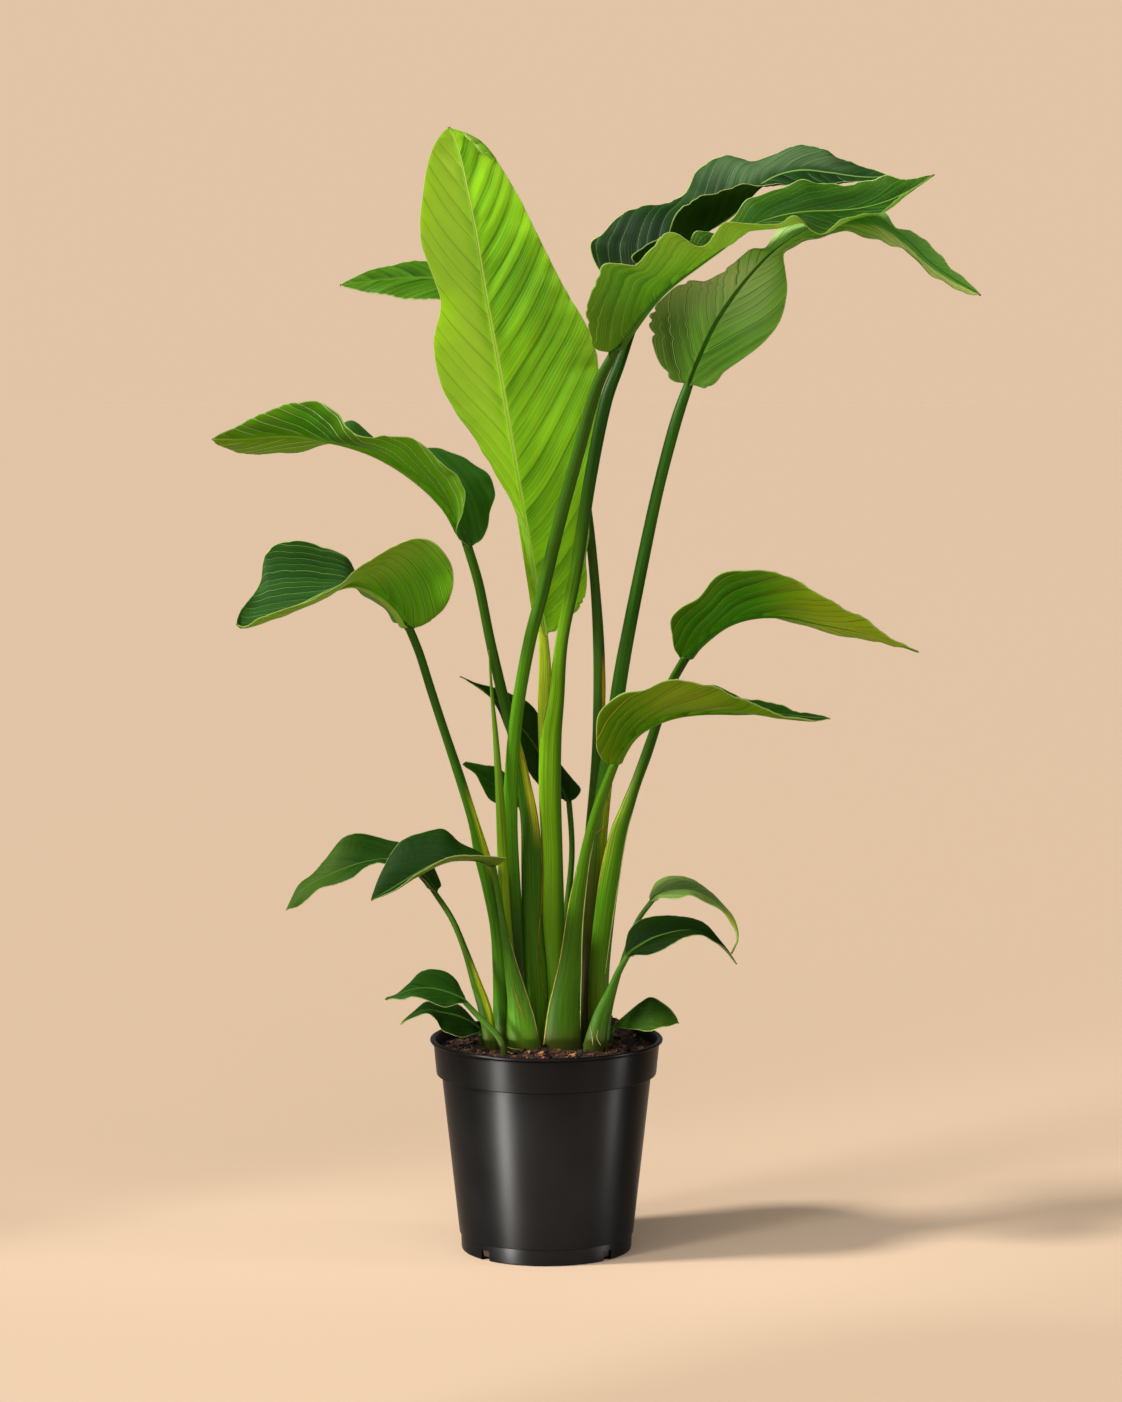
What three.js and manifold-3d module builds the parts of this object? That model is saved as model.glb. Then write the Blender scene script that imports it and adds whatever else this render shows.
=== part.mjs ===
// Potted bird of paradise: a bushy young plant with paddle-shaped leaves on long sheathed
// stems, standing in a filled black nursery pot. Millimetres, +Z up, the front is -Y.
// The pot stands on z = 0 with its axis on the origin.

import * as THREE from 'three';
import { mergeVertices } from 'three/addons/utils/BufferGeometryUtils.js';
import Module from 'manifold-3d';

const wasm = await Module();
wasm.setup();

// ---- driving dimensions -----------------------------------------------------------------

const POT = {
  height: 220,
  rimRadius: 120,        // outside of the rolled lip
  lipRadius: 1.9,        // roundness of the lip
  bandRadius: 116.5,     // collar under the lip, at its top
  bandBottomRadius: 113.5,
  bandHeight: 37,
  wallTopRadius: 108,    // tapered wall, just under the collar
  wallFootRadius: 90,    // tapered wall, at the ring line
  ringHeight: 17,        // ring line above the floor
  footRadius: 88,
  wall: 2.4,
  base: 3.2,
  segments: 48,
};
const DRAIN = { width: 11, height: 10.5, reach: 14, azimuths: [45, 135, 225, 315] };
const SOIL = { edge: 208.5, heap: 6, lump: 1.6, rings: 7, segments: 32, clearance: 0.6 };
const GAP = 0.3;           // clearance between neighbouring pieces
const HOLE_FLOOR = 168;    // bottom of the holes that the stems stand in
const HOLE_TOP = 219;      // the stems are straight up to here
const BLADE = 1.2;         // thickness of a leaf blade
const MARGIN = 0.9;        // thickness at its edges

// The plant is laid out on a front view, 1122 wide and 1402 high, that looks 5.6 degrees
// down from an eye 4 m away. A place on it is [across, down, depth]: two coordinates of the
// view and the distance behind the pot's axis in mm.
const VIEW = { across: 561, down: 701, focal: 3930, tilt: 5.6, eye: [15, -4001, 960.6] };

// ---- the leaves -------------------------------------------------------------------------
// spine, left, right: the midrib and both edges of a blade, from its base to its tip; left and
// right are taken looking along the leaf with its upper face toward the viewer.
// belly: how far each half bulges off a flat strip, in mm, toward the upper face.
// ripple: height in mm and number of waves along the edges.
// rib: depth of the midrib's ridge under the base of the blade.
// foot: where the stem stands in the soil, x and y in mm.
// stem: [across, down, depth, width, thickness] from the foot to the blade.

const LEAVES = {
  tall_center: {
    color: 0x7fb21e, rib: 10, belly: [-6, -4], ripple: [3, 5],
    spine: [[546, 636, 14], [541, 606, 16], [535, 575, 18], [525, 520, 20], [512, 445, 22],
      [502, 385, 24], [493, 335, 26], [484, 285, 28], [476, 235, 30], [467, 190, 32],
      [459, 153, 33], [449, 127, 34]],
    left: [[540, 634, 12], [536, 585, 4], [529, 545, -8], [514, 505, -22], [480, 447, -32],
      [446, 398, -28], [434, 345, -14], [440, 300, -2], [421, 240, 6], [424, 185, 16],
      [432, 150, 26], [446, 127, 33]],
    right: [[552, 634, 14], [563, 624, 20], [582, 600, 24], [589, 545, 24], [598, 440, 22],
      [600, 375, 20], [590, 335, 20], [565, 288, 20], [539, 238, 22], [514, 188, 24],
      [484, 145, 28], [452, 127, 33]],
    foot: [8, 13], width: 16, depth: 12,
    stem: [[552, 960, 14, 15, 11], [549, 860, 15, 14, 10], [546, 780, 15, 13, 10],
      [544, 710, 15, 13, 10], [545, 670, 15, 13, 10]],
  },
  high_back_left: {
    color: 0x3f8a1f, rib: 8, belly: [3, 3], ripple: [2, 4],
    spine: [[553, 352, 62], [543, 330, 66], [530, 312, 70], [513, 298, 73], [492, 288, 76],
      [468, 282, 78], [442, 279, 80], [416, 278, 81], [391, 279, 82], [366, 281, 83],
      [340, 285, 84]],
    left: [[551, 355, 60], [527, 342, 48], [507, 328, 44], [487, 320, 44], [466, 312, 46],
      [444, 303, 50], [422, 300, 54], [401, 298, 60], [382, 296, 68], [363, 292, 76],
      [340, 286, 83]],
    right: [[555, 349, 64], [553, 318, 82], [543, 290, 94], [524, 272, 100], [500, 264, 102],
      [474, 261, 102], [446, 263, 100], [420, 262, 97], [395, 264, 92], [370, 270, 88],
      [340, 284, 84]],
    foot: [33, 19], width: 19, depth: 13,
    stem: [[583, 950, 18, 18, 12], [588, 900, 18, 17, 12], [592, 842, 18, 16, 11],
      [597, 775, 18, 14, 10], [599, 724, 19, 13, 9], [599, 655, 24, 12, 9],
      [595, 585, 32, 10, 8], [587, 510, 44, 10, 8], [574, 430, 54, 10, 8]],
  },
  high_back_right: {
    color: 0x2c6b3a, rib: 9, belly: [2, -6], ripple: [3, 5],
    spine: [[650, 282, 64], [655, 275, 67], [662, 266, 70], [671, 256, 72], [683, 244, 74],
      [697, 234, 76], [713, 225, 77], [730, 214, 78], [745, 201, 78], [760, 186, 78],
      [779, 175, 78], [803, 170, 77], [832, 173, 75], [862, 177, 71], [893, 177, 66]],
    left: [[645, 283, 67], [618, 282, 92], [597, 268, 104], [593, 250, 110], [603, 232, 113],
      [620, 213, 115], [650, 208, 117], [677, 200, 118], [693, 174, 118], [722, 159, 118],
      [757, 159, 116], [793, 146, 112], [826, 153, 102], [860, 165, 88], [893, 176, 67]],
    right: [[652, 279, 61], [642, 268, 52], [632, 259, 48], [642, 247, 47], [662, 237, 47],
      [672, 226, 48], [679, 210, 48], [686, 202, 50], [704, 199, 50], [722, 190, 50],
      [740, 185, 50], [764, 187, 50], [795, 184, 50], [840, 184, 54], [892, 178, 65]],
    foot: [12, -8], width: 18, depth: 14,
    stem: [[556, 960, -6, 20, 13], [553, 900, -4, 22, 12], [552, 850, -2, 22, 11],
      [550, 790, -2, 23, 11], [551, 738, -2, 22, 10], [556, 700, -3, 17, 10],
      [562, 640, -4, 13, 9], [576, 570, -4, 13, 9], [590, 480, 0, 13, 9],
      [605, 405, 6, 13, 9], [619, 365, 16, 12, 9], [631, 330, 30, 11, 9],
      [640, 306, 46, 10, 8]],
  },
  high_front_right: {
    color: 0x5fa31c, rib: 9, belly: [-5, -8], ripple: [3, 7],
    spine: [[609, 353, -30], [618, 341, -31], [630, 324, -33], [644, 306, -34], [658, 291, -35],
      [675, 277, -36], [695, 263, -36], [714, 250, -36], [733, 237, -36], [754, 224, -36],
      [782, 215, -36], [809, 211, -36], [838, 210, -34], [865, 207, -32], [892, 199, -30],
      [915, 187, -28], [934, 174, -26]],
    left: [[615, 350, -27], [618, 330, -8], [614, 302, 14], [618, 281, 28], [634, 266, 36],
      [655, 256, 38], [678, 247, 38], [698, 236, 36], [712, 231, 32], [729, 226, 30],
      [752, 198, 28], [785, 185, 28], [822, 184, 26], [856, 182, 18], [886, 178, 4],
      [913, 178, -12], [933, 174, -25]],
    right: [[603, 355, -33], [590, 341, -58], [587, 312, -84], [590, 290, -98],
      [603, 269, -104], [630, 262, -106], [654, 248, -106], [676, 233, -106],
      [702, 246, -104], [728, 226, -100], [770, 222, -96], [798, 221, -92], [820, 232, -88],
      [846, 218, -80], [874, 214, -68], [904, 195, -46], [934, 175, -27]],
    foot: [-26, -10], width: 14, depth: 13,
    stem: [[515, 970, -14, 15, 11], [511, 900, -15, 17, 11], [510, 830, -17, 16, 10],
      [512, 766, -20, 14, 10], [518, 705, -23, 13, 10], [530, 640, -24, 13, 10],
      [543, 590, -25, 13, 10], [560, 520, -27, 13, 10], [579, 450, -29, 13, 10],
      [596, 390, -30, 13, 10]],
  },
  right_drooping: {
    color: 0x4d8f33, rib: 9, belly: [-5, -5], ripple: [3, 6],
    spine: [[688, 386, 30], [693, 372, 30], [699, 358, 29], [708, 338, 28], [718, 319, 27],
      [732, 298, 26], [744, 282, 24], [757, 267, 22], [772, 252, 18], [790, 238, 12],
      [812, 226, 8], [836, 218, 6], [858, 214, 4], [878, 217, 2], [894, 228, 0],
      [911, 243, -4], [930, 262, -10], [957, 281, -16], [981, 295, -20]],
    left: [[684, 386, 28], [667, 376, 14], [655, 352, 4], [649, 322, 2], [656, 304, 2],
      [684, 282, 4], [706, 281, 6], [731, 266, 14], [747, 249, 24], [768, 246, 38],
      [783, 230, 48], [812, 214, 52], [845, 207, 50], [880, 212, 44], [899, 224, 34],
      [917, 236, 20], [938, 253, 6], [960, 275, -8], [982, 294, -19]],
    right: [[693, 386, 28], [712, 388, 12], [724, 372, 4], [744, 358, -2], [763, 343, -4],
      [780, 321, -4], [787, 293, -4], [785, 272, -6], [784, 254, -12], [797, 244, -22],
      [818, 235, -34], [842, 231, -44], [862, 238, -46], [884, 240, -44], [900, 247, -40],
      [914, 259, -36], [940, 278, -32], [962, 292, -26], [980, 296, -21]],
    foot: [43, 2], width: 22, depth: 13,
    stem: [[590, 970, 2, 22, 12], [594, 900, 2, 21, 12], [598, 840, 2, 19, 11],
      [605, 780, 2, 16, 10], [612, 735, 2, 15, 10], [620, 680, 4, 15, 10],
      [628, 635, 8, 14, 10], [643, 560, 14, 13, 10], [658, 490, 20, 12, 10],
      [675, 425, 26, 12, 10]],
  },
  left_high: {
    color: 0x3f8a1f, rib: 8, belly: [-5, -6], ripple: [2, 5],
    spine: [[471, 548, -8], [465, 533, -10], [457, 519, -12], [444, 502, -14],
      [428, 486, -15], [410, 472, -16], [394, 462, -17], [378, 454, -18], [362, 448, -19],
      [344, 443, -20], [328, 440, -21], [310, 437, -22], [290, 435, -23], [270, 436, -24],
      [250, 438, -25], [231, 439, -26], [212, 439, -27]],
    left: [[466, 545, -10], [455, 533, -22], [462, 516, -38], [465, 500, -50],
      [461, 484, -58], [450, 468, -62], [432, 453, -64], [412, 442, -66], [390, 436, -66],
      [366, 436, -64], [348, 430, -60], [338, 414, -54], [323, 402, -48], [296, 403, -44],
      [264, 413, -38], [236, 426, -32], [212, 437, -28]],
    right: [[476, 548, -6], [487, 530, 12], [491, 508, 24], [493, 487, 34], [484, 469, 40],
      [464, 458, 44], [440, 452, 46], [412, 447, 46], [380, 441, 46], [352, 424, 44],
      [330, 434, 40], [306, 449, 32], [282, 454, 22], [258, 454, 10], [238, 452, -2],
      [222, 447, -16], [212, 441, -26]],
    foot: [-8, -10], width: 20, depth: 13,
    stem: [[536, 980, -10, 22, 12], [532, 920, -8, 21, 11], [532, 870, -6, 22, 10],
      [530, 825, -4, 19, 10], [524, 785, -2, 15, 9], [517, 750, 0, 12, 9],
      [508, 715, 0, 11, 9], [499, 680, -2, 11, 9], [489, 635, -4, 10, 8],
      [479, 585, -6, 10, 8]],
  },
  left_middle: {
    color: 0x3c8a24, rib: 8, belly: [-6, -5], ripple: [2, 4],
    spine: [[413, 629, -6], [406, 620, -8], [398, 609, -10], [388, 599, -12], [376, 591, -14],
      [363, 585, -16], [349, 583, -18], [335, 587, -20], [320, 594, -22], [305, 602, -24],
      [290, 609, -26], [275, 616, -28], [261, 621, -30], [250, 625, -32], [241, 627, -34],
      [237, 624, -35]],
    left: [[418, 628, -10], [432, 620, -26], [447, 605, -40], [454, 585, -50],
      [449, 561, -56], [432, 542, -60], [408, 537, -60], [384, 550, -58], [362, 569, -56],
      [342, 583, -56], [318, 595, -56], [294, 606, -54], [272, 615, -50], [256, 621, -44],
      [245, 625, -38], [238, 625, -36]],
    right: [[408, 626, -2], [400, 622, 10], [393, 618, 22], [385, 609, 32], [374, 600, 40],
      [362, 590, 46], [356, 574, 52], [347, 558, 56], [327, 549, 56], [304, 539, 52],
      [282, 542, 44], [266, 557, 34], [260, 578, 20], [250, 597, 2], [240, 612, -16],
      [236, 622, -33]],
    foot: [-44, -3], width: 23, depth: 16,
    stem: [[503, 980, -4, 21, 14], [499, 930, -5, 18, 13], [491, 890, -6, 17, 12],
      [482, 855, -7, 16, 11], [473, 820, -8, 11, 9], [459, 775, -9, 10, 8],
      [444, 730, -9, 9, 8], [431, 690, -8, 9, 8], [420, 655, -7, 9, 8]],
  },
  right_middle: {
    color: 0x4c9a1f, rib: 8, belly: [-5, -6], ripple: [2, 5],
    spine: [[681, 659, -8], [688, 651, -10], [697, 642, -12], [709, 632, -14],
      [723, 623, -16], [739, 617, -17], [757, 614, -18], [776, 614, -19], [795, 616, -20],
      [814, 621, -21], [833, 625, -22], [853, 629, -23], [873, 634, -24], [894, 642, -25],
      [919, 652, -26]],
    left: [[685, 660, -4], [690, 648, 12], [694, 634, 28], [702, 620, 40], [714, 610, 46],
      [730, 604, 50], [748, 603, 50], [768, 608, 48], [790, 617, 42], [812, 626, 34],
      [834, 632, 26], [856, 637, 16], [876, 641, 4], [896, 645, -10], [919, 652, -25]],
    right: [[677, 656, -10], [672, 640, -24], [671, 622, -38], [682, 608, -48],
      [697, 597, -56], [716, 579, -60], [742, 569, -62], [771, 571, -62], [798, 583, -58],
      [824, 596, -54], [846, 609, -48], [866, 620, -42], [884, 632, -36], [901, 643, -32],
      [920, 651, -27]],
    foot: [53, -15], width: 20, depth: 13,
    stem: [[599, 975, -14, 21, 12], [604, 920, -13, 21, 12], [610, 875, -11, 21, 11],
      [618, 835, -7, 18, 10], [627, 808, -3, 14, 9], [636, 783, 2, 11, 8],
      [647, 753, 6, 11, 8], [658, 720, 6, 10, 8], [669, 688, 0, 10, 8]],
  },
  right_low_front: {
    color: 0x6a9a1c, rib: 8, belly: [-5, -7], ripple: [2, 4],
    spine: [[610, 767, -60], [615, 757, -61], [621, 747, -62], [630, 736, -63],
      [643, 726, -64], [660, 718, -65], [679, 713, -66], [699, 711, -67], [719, 711, -68],
      [738, 712, -69], [757, 712, -70], [776, 713, -71], [795, 715, -72], [813, 717, -73],
      [830, 718, -74]],
    left: [[617, 766, -56], [620, 752, -46], [624, 738, -36], [632, 724, -29],
      [644, 712, -25], [660, 702, -23], [679, 695, -23], [699, 690, -25], [716, 688, -28],
      [735, 693, -32], [756, 700, -37], [777, 706, -44], [797, 711, -52], [815, 713, -61],
      [830, 718, -73]],
    right: [[606, 765, -62], [597, 749, -74], [596, 730, -88], [603, 710, -98],
      [622, 695, -104], [645, 687, -108], [669, 681, -110], [693, 684, -108],
      [714, 684, -104], [731, 694, -98], [750, 704, -92], [770, 711, -86], [790, 715, -82],
      [812, 721, -78], [830, 719, -75]],
    foot: [16, -34], width: 40, depth: 15,
    stem: [[565, 1005, -34, 34, 14], [571, 960, -34, 24, 12], [577, 905, -36, 18, 11],
      [583, 868, -40, 13, 10], [590, 835, -46, 11, 9], [600, 802, -53, 11, 9]],
  },
  left_low_back: {
    color: 0x2f7a24, rib: 5, belly: [2, 2], ripple: [1.5, 3],
    spine: [[437, 892, -5], [428, 880, -4], [416, 868, -3], [402, 861, -2], [386, 859, -1],
      [370, 861, 0], [354, 865, 0], [338, 871, 0], [322, 878, 0], [308, 886, 0],
      [296, 897, 0], [286, 910, 0]],
    left: [[434, 891, -7], [420, 877, -16], [405, 872, -24], [393, 868, -28], [379, 864, -28],
      [364, 869, -26], [350, 878, -22], [334, 885, -18], [318, 891, -14], [304, 902, -8],
      [294, 908, -4], [286, 910, -1]],
    right: [[441, 890, -2], [440, 878, 10], [430, 860, 20], [414, 848, 26], [396, 842, 30],
      [378, 836, 30], [360, 833, 28], [342, 840, 24], [328, 855, 20], [312, 873, 14],
      [298, 886, 8], [286, 909, 1]],
    foot: [-57, -30], width: 14, depth: 10, small: true,
    stem: [[485, 1010, -28, 14, 8], [476, 983, -25, 11, 7], [465, 950, -19, 7, 6],
      [452, 919, -12, 6, 6]],
  },
  left_low_front: {
    color: 0x1f6424, rib: 5, belly: [-4, 3], ripple: [1.5, 3],
    spine: [[495, 866, -52], [488, 861, -54], [477, 857, -56], [462, 857, -57],
      [447, 859, -58], [432, 865, -58], [417, 873, -58], [402, 882, -58], [387, 891, -58],
      [371, 900, -58]],
    left: [[498, 865, -55], [506, 858, -66], [492, 855, -74], [472, 856, -80],
      [452, 857, -82], [438, 861, -82], [424, 870, -80], [408, 881, -76], [390, 892, -68],
      [371, 901, -59]],
    right: [[491, 864, -50], [484, 856, -42], [474, 850, -36], [461, 844, -33],
      [444, 828, -32], [426, 832, -32], [404, 840, -34], [390, 853, -40], [380, 875, -48],
      [370, 899, -57]],
    foot: [-22, -34], width: 34, depth: 15, small: true,
    stem: [[520, 1008, -35, 25, 12], [513, 975, -37, 16, 10], [506, 940, -40, 9, 7],
      [500, 905, -45, 6, 6]],
  },
  left_rim_upper: {
    color: 0x2a7424, rib: 3.5, belly: [2, 2], ripple: [1, 3],
    spine: [[466, 1001, -48], [457, 996, -49], [447, 992, -50], [436, 989, -51],
      [425, 988, -52], [414, 989, -53], [404, 992, -54], [394, 996, -55], [385, 999, -56]],
    left: [[465, 1004, -50], [457, 1004, -60], [446, 1007, -66], [435, 1005, -68],
      [424, 999, -68], [413, 997, -66], [403, 1000, -62], [393, 999, -57], [385, 1001, -57]],
    right: [[466, 998, -46], [462, 990, -36], [455, 979, -28], [444, 971, -24],
      [432, 969, -24], [420, 973, -28], [409, 983, -36], [398, 994, -48], [385, 997, -55]],
    foot: [-43, -58], width: 7, depth: 6, small: true,
    stem: [[497, 1035, -56, 7, 5], [480, 1018, -52, 6, 5]],
  },
  left_rim_lower: {
    color: 0x1f6424, rib: 3.5, belly: [2, 2], ripple: [1, 3],
    spine: [[480, 1029, -6], [471, 1022, -8], [461, 1017, -10], [451, 1014, -12],
      [441, 1012, -14], [431, 1010, -16], [421, 1011, -18], [411, 1016, -20],
      [400, 1024, -22]],
    left: [[479, 1032, -9], [472, 1035, -16], [462, 1037, -22], [451, 1035, -26],
      [442, 1030, -28], [436, 1020, -28], [427, 1014, -26], [415, 1017, -24],
      [400, 1024, -23]],
    right: [[480, 1026, -3], [473, 1018, 2], [465, 1010, 6], [457, 1004, 8], [447, 1003, 8],
      [436, 1003, 6], [425, 1002, 0], [414, 1011, -12], [400, 1023, -21]],
    foot: [-66, -5], width: 6, depth: 5, small: true,
    stem: [[481, 1033, -5, 5, 5]],
  },
  right_low_upper: {
    color: 0x4a7a30, rib: 3.5, belly: [3, 3], ripple: [1, 3],
    spine: [[650, 901, -26], [657, 895, -27], [666, 891, -28], [676, 889, -29],
      [688, 890, -30], [700, 894, -31], [712, 900, -32], [722, 909, -33], [731, 919, -34],
      [736, 930, -35], [737, 941, -36], [732, 954, -37]],
    left: [[648, 900, -24], [652, 889, -16], [657, 881, -8], [669, 876, -4], [683, 877, -2],
      [698, 883, -6], [711, 892, -14], [722, 905, -22], [731, 916, -28], [737, 929, -33],
      [738, 940, -35], [733, 954, -37]],
    right: [[652, 902, -28], [661, 898, -36], [671, 899, -42], [681, 899, -46],
      [691, 896, -46], [702, 899, -44], [712, 906, -40], [722, 913, -38], [730, 922, -37],
      [736, 931, -36], [736, 941, -37], [732, 953, -38]],
    foot: [60, -27], width: 8, depth: 6, small: true,
    stem: [[610, 1005, -26, 7, 5], [623, 960, -26, 5, 5], [636, 924, -26, 5, 5]],
  },
  right_low_lower: {
    color: 0x1f6424, rib: 4, belly: [3, 3], ripple: [1, 3],
    spine: [[626, 956, -60], [633, 950, -61], [642, 944, -62], [653, 938, -63],
      [666, 934, -64], [680, 931, -65], [694, 931, -66], [706, 935, -67], [717, 942, -68],
      [727, 951, -69], [737, 964, -70]],
    left: [[625, 953, -58], [626, 941, -50], [630, 929, -42], [640, 920, -38],
      [655, 917, -38], [672, 915, -38], [689, 917, -40], [704, 924, -47], [716, 936, -57],
      [727, 949, -65], [737, 963, -70]],
    right: [[629, 958, -61], [637, 955, -68], [649, 955, -76], [661, 952, -82],
      [672, 944, -84], [683, 938, -84], [695, 936, -82], [706, 937, -78], [717, 943, -74],
      [726, 951, -71], [737, 964, -71]],
    foot: [48, -39], width: 21, depth: 11, small: true,
    stem: [[601, 1015, -42, 15, 9], [611, 990, -49, 9, 7], [619, 971, -55, 7, 6]],
  },
  right_rim: {
    color: 0x2f7a24, rib: 3.5, belly: [2, 2], ripple: [1, 3],
    spine: [[615, 1025, 4], [622, 1018, 3], [631, 1010, 2], [641, 1002, 1], [650, 997, 0],
      [659, 1001, -2], [668, 1008, -4], [675, 1016, -6], [679, 1023, -8]],
    left: [[614, 1023, 6], [626, 1018, 14], [637, 1010, 22], [648, 1004, 26], [657, 1003, 26],
      [664, 1008, 22], [671, 1013, 14], [676, 1018, 4], [679, 1023, -7]],
    right: [[616, 1027, 2], [624, 1028, -8], [633, 1030, -16], [643, 1031, -22],
      [653, 1030, -24], [662, 1028, -22], [670, 1026, -18], [676, 1024, -12],
      [679, 1024, -9]],
    foot: [66, 5], width: 7, depth: 6, small: true,
    stem: [[612, 1029, 4, 6, 5]],
  },
  inner_back: {
    color: 0x2a5c2c, rib: 4, belly: [2, 2], ripple: [1.5, 3],
    spine: [[569, 803, 44], [563, 791, 45], [555, 777, 46], [545, 762, 47], [535, 746, 47],
      [524, 731, 46], [512, 717, 45], [500, 704, 43], [487, 693, 40], [474, 684, 37],
      [460, 677, 34]],
    left: [[566, 801, 44], [556, 796, 40], [540, 786, 40], [527, 770, 42], [516, 750, 44],
      [506, 730, 46], [499, 712, 46], [491, 699, 45], [482, 689, 42], [471, 682, 38],
      [460, 677, 35]],
    right: [[573, 802, 44], [581, 790, 40], [573, 779, 44], [560, 763, 48], [549, 741, 50],
      [539, 715, 50], [527, 701, 48], [512, 694, 46], [496, 688, 43], [478, 683, 38],
      [460, 676, 34]],
    foot: [14, 38], width: 9, depth: 8, small: true,
    stem: [[561, 960, 38, 8, 7], [568, 900, 40, 7, 6], [572, 850, 42, 6, 5]],
  },
  inner_left: {
    color: 0x24552c, rib: 4, belly: [2, 2], ripple: [1, 3],
    spine: [[521, 806, 38], [514, 800, 38], [506, 794, 38], [498, 788, 37], [490, 782, 36],
      [482, 776, 35], [474, 770, 34], [463, 764, 33]],
    left: [[520, 808, 38], [512, 806, 36], [503, 806, 34], [495, 803, 33], [488, 798, 32],
      [481, 785, 32], [475, 774, 33], [463, 766, 33]],
    right: [[522, 803, 38], [518, 792, 36], [511, 780, 34], [503, 771, 33], [494, 766, 32],
      [485, 765, 32], [475, 763, 33], [464, 761, 33]],
    foot: [-18, 30], width: 8, depth: 7, small: true,
    stem: [[530, 960, 31, 7, 6], [531, 890, 34, 6, 5], [528, 835, 37, 6, 5]],
  },
};

// The youngest leaf, still a rolled spear in front of the left stems.
const SPEAR = {
  color: 0x8cab1e, foot: [-37, -21], width: 9, depth: 6,
  stem: [[512, 985, -23, 10, 6], [506, 920, -25, 11, 6], [503, 865, -27, 11, 6],
    [500, 800, -29, 9, 5], [496, 740, -27, 6, 4], [492, 695, -25, 3.5, 3], [489, 650, -24, 1.4, 1.4]],
};

// ---- helpers ----------------------------------------------------------------------------

const TILT = THREE.MathUtils.degToRad(VIEW.tilt);

// A place on the front view as a point in space.
function place([across, down, depth]) {
  const distance = depth - VIEW.eye[1];
  const z = VIEW.eye[2] + distance * Math.tan(Math.atan((VIEW.down - down) / VIEW.focal) - TILT);
  const range = distance * Math.cos(TILT) + (VIEW.eye[2] - z) * Math.sin(TILT);
  return new THREE.Vector3(VIEW.eye[0] + ((across - VIEW.across) / VIEW.focal) * range, depth, z);
}

// Smooth curve through the points, with an even parameter from 0 to 1.
function smoothCurve(points) {
  const curve = new THREE.CatmullRomCurve3(points, false, 'catmullrom', 0.5);
  return (t) => curve.getPoint(t);
}

// Values given at even steps, read in between along a straight line.
function ramp(values, t) {
  const at = Math.min(t, 1) * (values.length - 1);
  const index = Math.min(Math.floor(at), values.length - 2);
  return THREE.MathUtils.lerp(values[index], values[index + 1], at - index);
}

// Closed solid from rings with equal numbers of points; both ends are closed by flat caps.
function solidFromRings(rings, capTriangles) {
  const count = rings[0].length;
  const index = [];
  for (let i = 0; i + 1 < rings.length; i += 1) {
    for (let j = 0; j < count; j += 1) {
      const next = (j + 1) % count;
      const [a, b] = [i * count + j, i * count + next];
      const [c, d] = [a + count, b + count];
      // The far half of a ring takes the other diagonal, so both faces of a blade match.
      if (j < count / 2) index.push(a, b, d, a, d, c);
      else index.push(a, b, c, b, d, c);
    }
  }
  const last = (rings.length - 1) * count;
  for (const [a, b, c] of capTriangles(count)) {
    index.push(c, b, a, last + a, last + b, last + c);
  }
  const geometry = new THREE.BufferGeometry();
  const places = rings.flat().flatMap((p) => [p.x, p.y, p.z]);
  geometry.setAttribute('position', new THREE.Float32BufferAttribute(places, 3));
  geometry.setIndex(index);
  return signedVolume(geometry) < 0 ? flipped(geometry) : geometry;
}

function signedVolume(geometry) {
  const position = geometry.getAttribute('position');
  const corners = [0, 1, 2].map(() => new THREE.Vector3());
  let volume = 0;
  for (let i = 0; i < geometry.index.count; i += 3) {
    corners.forEach((corner, k) => corner.fromBufferAttribute(position, geometry.index.getX(i + k)));
    volume += corners[0].dot(corners[1].cross(corners[2])) / 6;
  }
  return volume;
}

function flipped(geometry) {
  const index = geometry.index.array;
  for (let i = 0; i < index.length; i += 3) [index[i], index[i + 1]] = [index[i + 1], index[i]];
  return geometry;
}

// A library geometry with its doubled points merged and its collapsed triangles dropped.
function sealed(geometry) {
  geometry.deleteAttribute('normal');
  geometry.deleteAttribute('uv');
  const merged = mergeVertices(geometry, 1e-3);
  const corners = Array.from(merged.index.array);
  const kept = [];
  for (let i = 0; i < corners.length; i += 3) {
    const triangle = corners.slice(i, i + 3);
    if (new Set(triangle).size === 3) kept.push(...triangle);
  }
  merged.setIndex(kept);
  return signedVolume(merged) < 0 ? flipped(merged) : merged;
}

const joined = (solids) => solids.reduce((sum, solid) => sum.add(solid));

const fanCap = (count) => Array.from({ length: count - 2 }, (_, k) => [0, k + 1, k + 2]);

// Cap of a blade's end: strips between the upper points and the lower points under them.
function bladeCap(count) {
  const half = count / 2;
  return Array.from({ length: half - 1 }, (_, k) => k).flatMap((k) => {
    const [a, b, c, d] = [k, k + 1, count - 2 - k, count - 1 - k];
    return [[a, b, c], [a, c, d]];
  });
}

function toManifold(geometry) {
  return new wasm.Manifold(new wasm.Mesh({
    numProp: 3,
    vertProperties: new Float32Array(geometry.getAttribute('position').array),
    triVerts: new Uint32Array(geometry.index.array),
  }));
}

function fromManifold(solid) {
  const mesh = solid.getMesh();
  const geometry = new THREE.BufferGeometry();
  const places = new Float32Array(mesh.numVert * 3);
  for (let i = 0; i < mesh.numVert; i += 1) {
    for (let k = 0; k < 3; k += 1) places[3 * i + k] = mesh.vertProperties[i * mesh.numProp + k];
  }
  geometry.setAttribute('position', new THREE.BufferAttribute(places, 3));
  geometry.setIndex(new THREE.BufferAttribute(new Uint32Array(mesh.triVerts), 1));
  return geometry;
}

// ---- pot and soil -----------------------------------------------------------------------

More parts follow.
